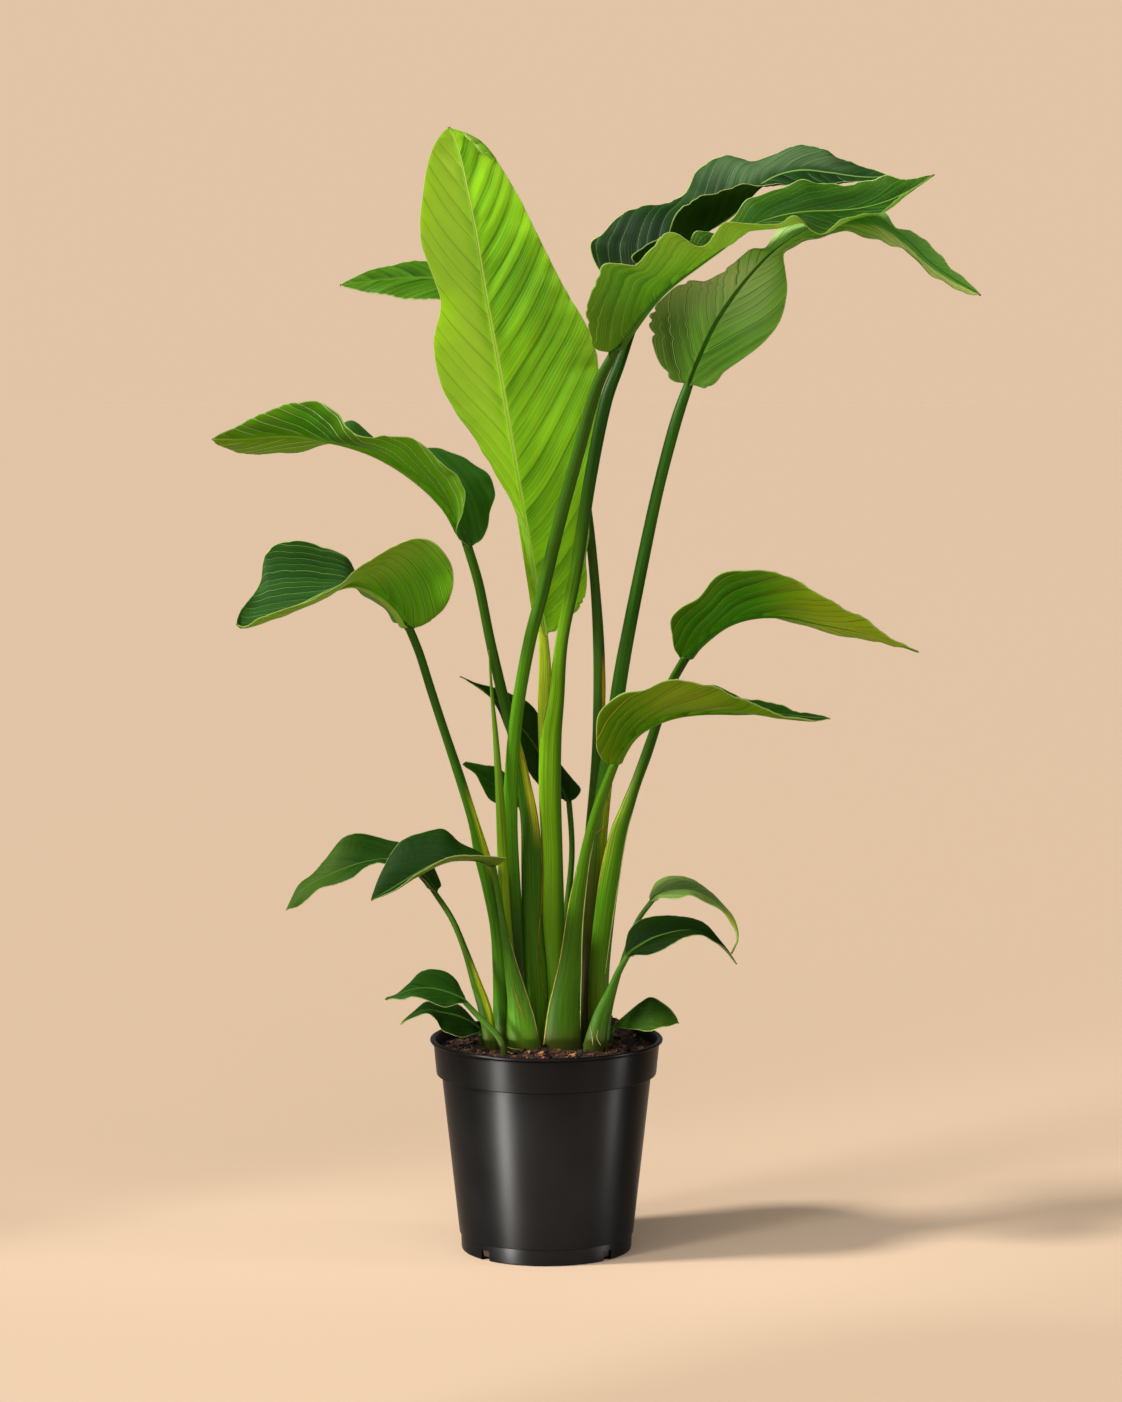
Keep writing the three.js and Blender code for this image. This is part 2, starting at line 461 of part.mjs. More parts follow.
// Radius of the pot's inside at a height.
function potInside(z) {
  const { height, bandHeight, ringHeight, wall } = POT;
  const underBand = height - bandHeight;
  if (z > underBand) {
    return ramp([POT.wallTopRadius - wall + 2.5, POT.bandRadius - wall], (z - underBand) / bandHeight);
  }
  return ramp([POT.wallFootRadius - wall, POT.wallTopRadius - wall],
    (z - ringHeight) / (underBand - ringHeight));
}

// Half-outline of the pot, from the axis out along the base, up, round the lip and down inside.
function potProfile() {
  const { height, rimRadius, lipRadius, bandRadius, bandBottomRadius, wall, base } = POT;
  const underBand = height - POT.bandHeight;
  const lipCenter = [rimRadius - lipRadius, height - lipRadius];
  const outline = [
    [0, 0], [POT.footRadius - 2, 0], [POT.footRadius, 2], [POT.footRadius + 0.6, POT.ringHeight],
    [POT.wallFootRadius, POT.ringHeight + 0.5],
    [POT.wallTopRadius, underBand - 1.5], [bandBottomRadius - 1.5, underBand - 0.5],
    [bandBottomRadius, underBand + 1.5], [bandRadius, height - 2 * lipRadius - 1.2],
  ];
  for (let i = -60; i <= 120; i += 36) {
    const turn = THREE.MathUtils.degToRad(i);
    outline.push([lipCenter[0] + lipRadius * Math.cos(turn), lipCenter[1] + lipRadius * Math.sin(turn)]);
  }
  outline.push([bandRadius - wall + 0.6, height - 1], [potInside(height - 5), height - 5],
    [potInside(underBand + 1), underBand + 1], [potInside(underBand - 3), underBand - 3],
    [potInside(POT.ringHeight), POT.ringHeight], [POT.footRadius - wall, base], [0, base]);
  return outline;
}

function buildPot() {
  const outline = potProfile().map(([radius, z]) => new THREE.Vector2(radius, z));
  const body = new THREE.LatheGeometry(outline, POT.segments).rotateX(Math.PI / 2);
  const notches = DRAIN.azimuths.map((azimuth) => {
    const notch = new THREE.BoxGeometry(DRAIN.reach, DRAIN.width, DRAIN.height * 2);
    notch.translate(POT.footRadius - 1, 0, 0).rotateZ(THREE.MathUtils.degToRad(azimuth));
    return toManifold(sealed(notch));
  });
  return fromManifold(toManifold(sealed(body)).subtract(joined(notches)));
}

// Surface of the soil: heaped toward the stems, with low lumps.
function soilHeight(radius, angle) {
  const heap = SOIL.heap * (1 - (radius / 110) ** 2);
  const lumps = Math.sin(angle * 5 + radius * 0.11) * Math.sin(radius * 0.17 + 1.3)
    + 0.6 * Math.sin(angle * 9 - radius * 0.23);
  return SOIL.edge + heap + SOIL.lump * lumps * Math.min(1, (110 - radius) / 15) * Math.min(1, radius / 20);
}

function buildSoil(holes) {
  const { rings, segments, clearance } = SOIL;
  const floor = POT.base + GAP;
  const underBand = POT.height - POT.bandHeight;
  const levels = [
    [floor, POT.footRadius - POT.wall - clearance],
    ...[POT.ringHeight, underBand - 3, underBand + 1].map((z) => [z, potInside(z) - clearance]),
  ];
  const around = Array.from({ length: segments }, (_, i) => (2 * Math.PI * i) / segments);
  const circle = (radius, height) => around.map((angle) =>
    new THREE.Vector3(radius * Math.cos(angle), radius * Math.sin(angle), height(angle)));
  const outer = potInside(SOIL.edge) - clearance;
  const stack = [
    ...levels.map(([z, radius]) => circle(radius, () => z)),
    ...Array.from({ length: rings }, (_, k) => {
      const radius = outer * (1 - k / rings);
      return circle(radius, (angle) => soilHeight(radius, angle));
    }),
  ];
  const body = toManifold(solidFromRings(stack, fanCap));
  return fromManifold(body.subtract(joined(holes)));
}

// ---- leaves -----------------------------------------------------------------------------

// Reads a leaf's curves: at(t) gives the midrib, the edges and the blade's own directions.
function bladeFrame(leaf) {
  const [spine, left, right] = [leaf.spine, leaf.left, leaf.right]
    .map((line) => smoothCurve(line.map(place)));
  const at = (t) => {
    const [ahead, behind] = [Math.min(t + 0.01, 1), Math.max(t - 0.01, 0)];
    const along = spine(ahead).sub(spine(behind)).normalize();
    const steady = THREE.MathUtils.clamp(t, 0.05, 0.93);
    const across = right(steady).sub(left(steady));
    const up = across.cross(along).normalize();
    return { middle: spine(t), left: left(t), right: right(t), along, up };
  };
  return at;
}

// Upper points of a blade's section from its left edge to its right edge, `half` to each side
// of the midrib.
function upperSection(leaf, frame, t, half = 2) {
  const [height, waves] = leaf.ripple;
  const fade = Math.sin(Math.PI * Math.min(1, t * 1.05)) ** 0.5;
  return Array.from({ length: 2 * half + 1 }, (_, k) => {
    const side = (k - half) / half;
    const out = Math.abs(side);
    const edge = (side < 0 ? frame.left : frame.right).clone();
    if (t === 0) edge.addScaledVector(frame.along, frame.middle.clone().sub(edge).dot(frame.along));
    const belly = leaf.belly[side < 0 ? 0 : 1];
    const phase = side < 0 ? 0.6 : 2.4;
    const lift = fade * (belly * 4 * out * (1 - out)
      + height * out * out * Math.sin(2 * Math.PI * waves * t + phase));
    return frame.middle.clone().lerp(edge, out).addScaledVector(frame.up, lift);
  });
}

// Depth of the blade under its midrib: deep as the stem at the base, thin at the tip.
const ribDepth = (leaf, t) => BLADE + leaf.rib * (1 - t) ** 1.6;

function bladeRing(leaf, at, t) {
  const frame = at(t);
  const upper = upperSection(leaf, frame, t);
  const middle = (upper.length - 1) / 2;
  const lower = upper.map((point, k) => {
    const across = upper[Math.min(k + 1, upper.length - 1)].clone().sub(upper[Math.max(k - 1, 0)]);
    const normal = across.cross(frame.along).normalize();
    const depth = k === middle ? ribDepth(leaf, t) : (k % (2 * middle) === 0 ? MARGIN : BLADE);
    return point.clone().addScaledVector(normal, -depth);
  });
  return [...upper, ...lower.reverse()];
}

function buildBlade(leaf) {
  const at = bladeFrame(leaf);
  const steps = Math.round((leaf.spine.length - 1) * (leaf.small ? 1.2 : 1.5));
  const rings = Array.from({ length: steps + 1 }, (_, i) => bladeRing(leaf, at, i / steps));
  return solidFromRings(rings, bladeCap);
}

// Oval ring around a center; u runs across the stem and v through it.
function ovalRing(center, u, v, width, depth, sides) {
  return Array.from({ length: sides }, (_, k) => {
    const turn = (2 * Math.PI * (k + 0.5)) / sides;
    return center.clone().addScaledVector(u, (width / 2) * Math.cos(turn))
      .addScaledVector(v, (depth / 2) * Math.sin(turn));
  });
}

const sidesOf = (leaf) => (leaf.small ? 8 : 10);

// The straight part of a stem, down in its hole, `extra` mm wider all round.
function footRings(leaf, extra, levels) {
  const [x, y] = leaf.foot;
  return levels.map((z) => ovalRing(new THREE.Vector3(x, y, z), new THREE.Vector3(1, 0, 0),
    new THREE.Vector3(0, 1, 0), leaf.width + 2 * extra, leaf.depth + 2 * extra, sidesOf(leaf)));
}

// A stem: straight in the soil, then along its places up to the blade, which it meets face to face.
function buildStem(leaf, extra = 0) {
  const [x, y] = leaf.foot;
  const centers = [new THREE.Vector3(x, y, HOLE_TOP), ...leaf.stem.map(place)];
  const widths = [leaf.width, ...leaf.stem.map((row) => row[3])];
  const depths = [leaf.depth, ...leaf.stem.map((row) => row[4])];
  const side = new THREE.Vector3(1, 0, 0);
  let end = null;
  if (leaf.spine) {
    const at = bladeFrame(leaf);
    const frame = at(0);
    const span = frame.right.clone().sub(frame.left);
    const thick = ribDepth(leaf, 0);
    const seat = frame.middle.clone().addScaledVector(frame.up, -0.45 * thick)
      .addScaledVector(frame.along, -GAP);
    end = { u: span.clone().normalize(), along: frame.along };
    centers.push(seat);
    widths.push(span.length() * 0.9);
    depths.push(thick * 0.8);
  }
  const path = smoothCurve(centers);
  const steps = centers.length - 1;
  const rings = footRings(leaf, extra, [HOLE_FLOOR - extra]);
  for (let i = 0; i <= steps; i += 1) {
    const t = i / steps;
    const along = path(Math.min(1, t + 0.01)).sub(path(Math.max(0, t - 0.01))).normalize();
    if (i === 0) along.set(0, 0, 1);
    const u = side.clone();
    if (end) {
      const turn = THREE.MathUtils.smoothstep(t, 0.7, 1);
      u.lerp(end.u.x < 0 ? end.u.clone().negate() : end.u, turn);
      if (i === steps) along.copy(end.along);
    }
    u.addScaledVector(along, -u.dot(along)).normalize();
    const v = along.clone().cross(u);
    rings.push(ovalRing(path(t), u, v, ramp(widths, t) + 2 * extra, ramp(depths, t) + 2 * extra,
      sidesOf(leaf)));
  }
  return solidFromRings(rings, fanCap);
}

// ---- assembly ---------------------------------------------------------------------------

const plant = new THREE.Group();
plant.name = 'potted_bird_of_paradise';

function add(name, geometry, color, roughness) {
  geometry.computeVertexNormals();
  const material = new THREE.MeshStandardMaterial({ color, roughness, metalness: 0 });
  const mesh = new THREE.Mesh(geometry, material);
  mesh.name = name;
  plant.add(mesh);
}

const growth = [...Object.values(LEAVES), SPEAR];
const holes = growth.map((leaf) =>
  toManifold(solidFromRings(footRings(leaf, GAP, [HOLE_FLOOR - GAP, HOLE_TOP + 5]), fanCap)));

add('pot', buildPot(), 0x1a1a1b, 0.42);
add('soil', buildSoil(holes), 0x2c1c12, 0.95);
for (const [name, leaf] of Object.entries(LEAVES)) {
  add(`stem_${name}`, buildStem(leaf), 0x4b8a1e, 0.4);
  add(`blade_${name}`, buildBlade(leaf), leaf.color, 0.38);
}
add('spear', buildStem(SPEAR), SPEAR.color, 0.4);

export default plant;
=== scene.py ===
"""Potted bird of paradise: the finished look of a bushy young plant in a black nursery pot.

The plant is laid out on a front view of the photograph's size. A place on it is
(across, down, depth): two coordinates of the view in its 1122 x 1402 frame, and the distance
behind the pot's axis in mm. Everything is built in metres, +Z up, with the front toward -Y.
"""
from __future__ import annotations

import logging
import math
from dataclasses import dataclass, field, replace
from enum import Enum

import bpy
import numpy as np
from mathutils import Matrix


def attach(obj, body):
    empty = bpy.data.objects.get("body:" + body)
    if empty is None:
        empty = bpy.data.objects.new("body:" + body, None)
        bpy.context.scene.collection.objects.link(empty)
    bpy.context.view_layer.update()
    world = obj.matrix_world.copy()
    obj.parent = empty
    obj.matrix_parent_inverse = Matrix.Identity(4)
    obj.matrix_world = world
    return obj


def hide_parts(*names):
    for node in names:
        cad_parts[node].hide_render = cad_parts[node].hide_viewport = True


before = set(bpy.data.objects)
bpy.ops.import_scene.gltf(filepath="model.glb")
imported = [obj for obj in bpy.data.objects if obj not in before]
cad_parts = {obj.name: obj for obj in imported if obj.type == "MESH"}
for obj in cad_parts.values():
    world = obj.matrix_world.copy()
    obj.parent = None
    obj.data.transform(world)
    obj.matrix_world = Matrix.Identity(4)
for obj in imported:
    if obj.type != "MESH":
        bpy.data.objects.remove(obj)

Socket = bpy.types.NodeSocket
Piece = bpy.types.Object
Span = tuple[float, float]
Place = tuple[float, float, float]
Rows = tuple[tuple[float, ...], ...]

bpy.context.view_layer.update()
LOG = logging.getLogger("potted_bird_of_paradise")
MM = 0.001
ROOT = "root"
BLADE_MM = 0.9         # thickness of a blade between its veins
HOLE_FLOOR_MM = 168.0  # foot of the stalks, deep in the soil
HOLE_TOP_MM = 219.0    # the stalks are straight up to here
SMALL_KEEL_MM = 2.4    # how much wider the midrib's keel is at the base than at the tip, each side
LARGE_KEEL_MM = 4.6
KEEL_TIP_MM = 0.9      # its half width at the tip
BOX_CORNERS = np.array([(x, y, z) for x in (-1, 1) for y in (-1, 1) for z in (-1, 1)]) / 2
BOX_FACES = np.array([(0, 1, 3, 2), (4, 6, 7, 5), (0, 4, 5, 1), (2, 3, 7, 6), (0, 2, 6, 4), (1, 5, 7, 3)])
BLADE_VALUES = ("veins", "from_midrib", "from_margin", "along", "half")
STALK_VALUES = ("height", "along", "side", "ring_x", "ring_y")
SMOOTH = {"interpolation_type": "SMOOTHSTEP"}
TIMES = {"operation": "MULTIPLY"}
NOISE_MIDDLE = {"From Min": 0.35, "From Max": 0.65}    # most of a noise's values lie in here
NOISE_SPAN = {"From Min": 0.3, "From Max": 0.7}        # and nearly all in here


# ---- the front view and the curves on it ---------------------------------------------------

@dataclass(frozen=True)
class FrontView:
    """The view that the plant is laid out on, which is the camera's too."""

    width: int = 1122
    height: int = 1402
    focal: float = 3930.0
    tilt_deg: float = 5.6
    eye_mm: Place = (15.0, -4001.0, 960.6)

    def place(self, rows: np.ndarray) -> np.ndarray:
        """Turns places on the view into points in space.

        Args:
            rows: one (across, down, depth) a row.

        Returns:
            One point a row, in metres.
        """
        rows = np.asarray(rows, float)
        tilt = math.radians(self.tilt_deg)
        eye_x, eye_y, eye_z = self.eye_mm
        distance = rows[:, 2] - eye_y
        rise = np.arctan((self.height / 2 - rows[:, 1]) / self.focal) - tilt
        z = eye_z + distance * np.tan(rise)
        reach = distance * math.cos(tilt) + (eye_z - z) * math.sin(tilt)
        x = eye_x + (rows[:, 0] - self.width / 2) / self.focal * reach
        return np.column_stack([x, rows[:, 2], z]) * MM


VIEW = FrontView()


def smooth_curve(points: np.ndarray, t: np.ndarray) -> np.ndarray:
    """Reads a uniform Catmull-Rom curve that passes through the points.

    Args:
        points: the curve's points, one a row.
        t: where to read it, from 0 to 1 along the whole curve.

    Returns:
        One point a row for each value of t.
    """
    points = np.asarray(points, float)
    ends = 2 * points[[0, -1]] - points[[1, -2]]
    padded = np.vstack([ends[:1], points, ends[1:]])
    at = np.clip(t, 0, 1) * (len(points) - 1)
    index = np.minimum(at.astype(int), len(points) - 2)
    s = (at - index)[:, None]
    a, b, c, d = (padded[index + k] for k in range(4))
    return (b + 0.5 * s * (c - a) + s ** 2 * (a - 2.5 * b + 2 * c - 0.5 * d)
            + s ** 3 * (-0.5 * a + 1.5 * b - 1.5 * c + 0.5 * d))


def unit(vectors: np.ndarray) -> np.ndarray:
    """Scales each row to length one, and leaves a row of length zero as it is."""
    return vectors / np.maximum(np.linalg.norm(vectors, axis=-1, keepdims=True), 1e-12)


def smoothstep(low: float, high: float, value: np.ndarray) -> np.ndarray:
    """Rises smoothly from 0 at low to 1 at high."""
    s = np.clip((np.asarray(value, float) - low) / (high - low), 0, 1)
    return s * s * (3 - 2 * s)


def waves(rng: np.random.Generator, value: np.ndarray, lengths: tuple[float, ...]) -> np.ndarray:
    """Adds sine waves with random phases, as the uneven run of a grown edge.

    Args:
        rng: the leaf's own random numbers.
        value: the coordinate that the waves run along.
        lengths: the waves' lengths, in the same unit.

    Returns:
        A height between about -1 and 1 for each value.
    """
    total = sum(np.sin(2 * math.pi * value / length + rng.uniform(0, 2 * math.pi)) for length in lengths)
    return total / len(lengths)


def ring_angles(count: int) -> np.ndarray:
    """Even angles round a full turn, in radians."""
    return 2 * math.pi * np.arange(count) / count


# ---- meshes and nodes ----------------------------------------------------------------------

class Slot(Enum):
    """The record's material slots."""

    POT = "pot"
    SOIL = "soil"
    STEM = "stem"
    SPEAR = "spear"
    LEAF_LIME = "leaf_lime"
    LEAF_GREEN = "leaf_green"
    LEAF_DARK = "leaf_dark"


@dataclass
class MeshParts:
    """Points, faces and point values of one piece while it is made."""

    points: list[np.ndarray] = field(default_factory=list)
    faces: list[np.ndarray] = field(default_factory=list)
    slots: list[np.ndarray] = field(default_factory=list)
    values: dict[str, list[np.ndarray]] = field(default_factory=dict)
    count: int = 0

    def add(self, points: np.ndarray, faces: np.ndarray, slot: int = 0, **values: np.ndarray) -> int:
        """Adds points with their values, and faces between them.

        Args:
            points: one point a row.
            faces: one face a row, counted from the first of these points.
            slot: the faces' material slot.
            values: one number a point for each named value.

        Returns:
            The number of the first point.
        """
        first = self.count
        self.points.append(points)
        self.faces.extend((np.asarray(faces) + first).tolist())
        self.slots.append(np.full(len(faces), slot))
        for key, value in values.items():
            self.values.setdefault(key, []).append(np.broadcast_to(value, (len(points),)).astype(float))
        self.count += len(points)
        return first

    def link(self, faces: np.ndarray, slot: int = 0) -> None:
        """Adds faces between points that are there already."""
        self.faces.extend(np.asarray(faces).tolist())
        self.slots.append(np.full(len(faces), slot))

    def add_tube(self, rings: np.ndarray, **values: np.ndarray) -> None:
        """Adds a closed tube with a face over each end.

        Args:
            rings: a grid of points, one ring a row.
            values: one number a point for each named value.
        """
        rows, sides = rings.shape[:2]
        first = self.add(rings.reshape(-1, 3), grid_faces(rows, sides, closed=True), **values)
        order = np.arange(sides) + first
        self.link([order[::-1]])
        self.link([order + (rows - 1) * sides])

    def build(self, name: str, materials: list[bpy.types.Material], smooth: bool = True) -> Piece:
        """Makes the object.

        Args:
            name: the piece's name.
            materials: its material slots in order.
            smooth: whether its faces are shaded smooth.

        Returns:
            The new object, which is in the scene.
        """
        mesh = bpy.data.meshes.new(name)
        mesh.from_pydata(np.vstack(self.points).tolist(), [], self.faces)
        mesh.validate()
        for key, value in self.values.items():
            layer = mesh.attributes.new(key, "FLOAT", "POINT")
            layer.data.foreach_set("value", np.concatenate(value).astype(np.float32))
        slots = np.concatenate(self.slots).astype(np.int32)
        if len(slots) == len(mesh.polygons):
            mesh.polygons.foreach_set("material_index", slots)
        mesh.polygons.foreach_set("use_smooth", [smooth] * len(mesh.polygons))
        for material in materials:
            mesh.materials.append(material)
        piece = bpy.data.objects.new(name, mesh)
        bpy.context.scene.collection.objects.link(piece)
        return piece


def grid_faces(rows: int, columns: int, flip: bool = False, closed: bool = False) -> np.ndarray:
    """Quads of a grid of points numbered row by row.

    Args:
        rows: how many rows of points.
        columns: how many points a row.
        flip: whether the faces point the other way.
        closed: whether each row is a ring.

    Returns:
        One quad a row.
    """
    i, j = np.meshgrid(np.arange(rows - 1), np.arange(columns if closed else columns - 1), indexing="ij")
    i, j = i.ravel(), j.ravel()
    after = (j + 1) % columns
    quads = np.column_stack([i * columns + j, i * columns + after, (i + 1) * columns + after,
                             (i + 1) * columns + j])
    return quads[:, ::-1] if flip else quads


def settle(piece: Piece, slot: Slot, *nodes: str) -> Piece:
    """Hands a finished piece to the frame.

    Args:
        piece: the piece, in place.
        slot: the record's slot that its finish comes from; not used.
        nodes: the CAD nodes that it stands for.

    Returns:
        The same piece.
    """
    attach(piece, ROOT)
    if nodes:
        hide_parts(*nodes)
    LOG.info("%s: %d faces, stands for %s", piece.name, len(piece.data.polygons), ", ".join(nodes) or "-")
    return piece


def linear(colour: str) -> tuple[float, float, float, float]:
    """Turns an sRGB hex value into a linear colour."""
    channels = [int(colour[k:k + 2], 16) / 255 for k in (1, 3, 5)]
    return (*(c / 12.92 if c <= 0.04045 else ((c + 0.055) / 1.055) ** 2.4 for c in channels), 1.0)


class Graph:
    """The nodes of a material or of the surroundings."""

    def __init__(self, name: str, surroundings: bool = False) -> None:
        """Makes an empty material, or empty surroundings.

        Args:
            name: its name.
            surroundings: whether it is for the surroundings.
        """
        self.kind = "World" if surroundings else "Material"
        self.owner = (bpy.data.worlds if surroundings else bpy.data.materials).new(name)
        self.owner.use_nodes = True
        self.tree = self.owner.node_tree
        self.tree.nodes.clear()

    def add(self, kind: str, settings: dict | None = None, inputs: dict | None = None,
            out: int | str = 0) -> Socket:
        """Adds one node.

        Args:
            kind: the node's type, after "ShaderNode".
            settings: its properties.
            inputs: for each input, a value or the output that is linked to it.
            out: which of its outputs to hand back.

        Returns:
            That output.
        """
        node = self.tree.nodes.new(f"ShaderNode{kind}")
        for key, value in (settings or {}).items():
            setattr(node, key, value)
        for key, value in (inputs or {}).items():
            if isinstance(value, Socket):
                self.tree.links.new(value, node.inputs[key])
            else:
                node.inputs[key].default_value = value
        return node.outputs[out] if node.outputs else None

    def finish(self, surface: Socket) -> bpy.types.ID:
        """Links the surface to the output and hands the material or the surroundings back."""
        self.add(f"Output{self.kind}", None, {"Surface": surface})
        return self.owner


# ---- finishes ------------------------------------------------------------------------------

@dataclass(frozen=True)
class Patch:
    """A stretch of skin painted another colour, with soft ends. Many are painted light and shade: the glow of
    light through a blade, a painted sheen, painted shade where a blade curls away or lies in another's shade,
    and painted shade down one side of a stalk.
    """

    colour: str
    share: float
    along: Span                 # its stretch on the way up the piece
    across: Span                # its stretch from left, -1, to right, 1
    soft: Span = (0.12, 0.3)    # half the length of the change at their ends
    uneven: float = 0.8         # how far the grain varies it

    def tint(self, g: Graph, colour: Socket, along: Socket, across: Socket, grain: Socket) -> Socket:
        """Lays the patch over a colour.

        Args:
            g: the material's nodes.
            colour: the colour under it.
            along: the coordinate up the piece.
            across: the coordinate across it.
            grain: noise along the tissue, which the patch follows.

        Returns:
            The new colour.
        """
        spread = self.uneven * self.share * (1 - self.share)
        inside = g.add("MapRange", None, {"Value": grain, **NOISE_MIDDLE, "To Min": self.share - spread,
                                          "To Max": self.share + spread})
        for value, span, soft in ((along, self.along, self.soft[0]), (across, self.across, self.soft[1])):
            for end, half in zip(span, (soft, -soft)):
                edge = g.add("MapRange", SMOOTH, {"Value": value, "From Min": end - half,
                                                  "From Max": end + half})
                inside = g.add("Math", TIMES, {0: inside, 1: edge})
        return g.add("MixRGB", None, {0: inside, 1: colour, 2: linear(self.colour)})


@dataclass(frozen=True)
class LeafFinish:
    """Living leaf skin, one face of a blade: green tissue under a clear wax, grown in pleats.

    The tissue's two greens, the pale veins and the thin light margin give the eye the leaf's
    age, and the wax gives the soft sheen of a satin leather. Some light and shade is painted
    in too: light to dark across each pleat, shade or light beside each vein, and the glow of
    light through thin tissue.
    """

    deep: str
    light: str
    vein: str                  # the main lateral veins
    beside: str                # the pleat's edge next to each: painted shade, or painted light where the vein is a dark crease
    thread: str                # the fine veins between them
    midrib: str
    glow: str                  # painted light: the yellow glow of light through the tissue where it is thin
    margin: str = "#bccb7c"
    bands: float = 0.3         # each pleat's own tone, and painted light and shade across it
    lines: float = 0.5         # how far the main veins show
    threads: float = 0.3       # and the fine ones
    streaks: float = 0.6       # uneven tissue along the veins
    edge_glow: float = 0.25    # share of the glow toward the margin
    base_glow: float = 0.2     # and toward the base
    rough: float = 0.42
    through: float = 0.4       # share of the light that passes into the blade
    lit: str = "#9cd030"       # colour of that light
    gloss: float = 0.2
    tip: str = "#8a6a34"
    seam: str = ""             # thin line inside the midrib's groove, painted darker as the groove's shade
    rib_mm: float = 3.0        # half width of the midrib at the base
    rim_mm: float = 0.9        # width of the light margin
    glow_mm: float = 24.0      # how far the glow reaches in from the margin
    bare_mm: Span = (4.0, 8.0)             # the main veins fade in here, off the midrib
    streak_count: float = 9.0  # streaks across a pleat
    streak_mm: float = 50.0    # and how long they are
    broad: Place = (0.12, 0.8, 1.0)        # the broad noise, for the streaks' one
    thread_count: float = 7.0  # fine veins across a pleat
    shade_shift: float = 0.07  # from a main vein to its pleat's shaded edge, as share of a pleat
    patches: tuple[Patch, ...] = ()

    def tissue(self, g: Graph, veins: Socket, streak: Socket, patch: Socket) -> Socket:
        """Mixes the two greens of the tissue, with painted light and shade across each pleat.

        Args:
            g: the material's nodes.
            veins: the count of lateral veins.
            streak: fine noise along the veins.
            patch: broad noise.

        Returns:
            The tissue's colour.
        """
        pleat = g.add("TexWhiteNoise", {"noise_dimensions": "1D"},
                      {"W": g.add("Math", {"operation": "FLOOR"}, {0: veins})})
        tone = g.add("MapRange", None, {"Value": pleat, "To Min": 0.5 - 0.3 * self.bands,
                                        "To Max": 0.5 + 0.3 * self.bands})
        # Painted shade: each pleat is painted lighter just past its vein and darker toward the next.
        rise = g.add("Math", {"operation": "FRACT"}, {0: veins})
        rise = g.add("Math", {"operation": "SUBTRACT"}, {0: 0.5, 1: rise})
        tone = g.add("Math", {"operation": "MULTIPLY_ADD"}, {0: rise, 1: self.bands, 2: tone})
        for noise, share in ((streak, self.streaks), (patch, 1.2)):
            off_middle = g.add("Math", {"operation": "SUBTRACT"}, {0: noise, 1: 0.5})
            tone = g.add("Math", {"operation": "MULTIPLY_ADD", "use_clamp": True},
                         {0: off_middle, 1: share, 2: tone})
        return g.add("MixRGB", None, {0: tone, 1: linear(self.deep), 2: linear(self.light)})

    def build(self, name: str) -> bpy.types.Material:
        """Makes the leaf's material: tissue, veins, midrib, margin, then wax over it.

        Args:
            name: the blade and face that it is for.

        Returns:
            The material.
        """
        g = Graph(f"waxed_leaf_skin_{name}")
        veins, off, edge, along, half = (g.add("Attribute", {"attribute_name": key}, out="Fac")
                                         for key in BLADE_VALUES)
        # Streaks of tissue run along the veins: 1/9 of a pleat (1 to 3 mm) across them.
        fine = g.add("CombineXYZ", None, {0: g.add("Math", TIMES, {0: veins, 1: self.streak_count}),
                                          1: g.add("Math", TIMES, {0: off, 1: 1 / self.streak_mm})})
        streak = g.add("TexNoise", None, {"Vector": fine, "Scale": 1.0, "Detail": 3.0, "Roughness": 0.6})
        wide = g.add("VectorMath", TIMES, {0: fine, 1: self.broad})
        patch = g.add("TexNoise", None, {"Vector": wide, "Scale": 1.0, "Detail": 2.0})
        colour = self.tissue(g, veins, streak, patch)
        for part in self.patches:
            colour = part.tint(g, colour, along, half, streak)

        # How far each point is from a fine vein, a pleat's shaded edge and a main vein, and how
        # many half widths of the midrib it is from the middle.
        many = g.add("Math", TIMES, {0: veins, 1: self.thread_count})
        shifted = g.add("Math", {"operation": "ADD"}, {0: veins, 1: -self.shade_shift})
        to_thread, to_shade, to_vein = (g.add("Math", {"operation": "PINGPONG"}, {0: count, 1: 0.5})
                                        for count in (many, shifted, veins))
        rib = g.add("MapRange", None, {"Value": along, "To Min": self.rib_mm, "To Max": 0.25 * self.rib_mm})
        to_rib = g.add("Math", {"operation": "DIVIDE"}, {0: off, 1: rib})

        # What is drawn: where it starts, where it is full, and how strong. The veins are about
        # 1 mm wide here, which is wider than they grow, so that they show.
        drawn = {
            "edge_glow": (edge, self.glow_mm, 0.0, self.edge_glow),
            "base_glow": (along, 0.3, 0.0, self.base_glow),
            "thread": (to_thread, 0.2, 0.02, 1.6 * self.threads),
            "shade": (to_shade, 0.08, 0.02, self.lines),
            "vein": (to_vein, 0.05, 0.018, self.lines),
            "off_midrib": (off, *self.bare_mm, 1.0),
            "midrib": (to_rib, 1.15, 0.85, 0.9),
            "margin": (edge, 1.4 * self.rim_mm, 0.6 * self.rim_mm, 0.8),
            "tip": (along, 0.992, 1.0, 0.9),
        }
        if self.seam:
            drawn["seam"] = (to_rib, 0.32, 0.12, 0.7)
        show = {}
        for key, (value, start, full, top) in drawn.items():
            show[key] = g.add("MapRange", SMOOTH, {"Value": value, "From Min": start, "From Max": full,
                                                   "To Max": top})
        mottle = g.add("MapRange", None, {"Value": streak, **NOISE_SPAN, "To Min": 0.4, "To Max": 1.6})
        fading = g.add("MapRange", None, {"Value": patch, "From Min": 0.3, "From Max": 0.6,
                                          "To Min": 0.5, "To Max": 1.3})
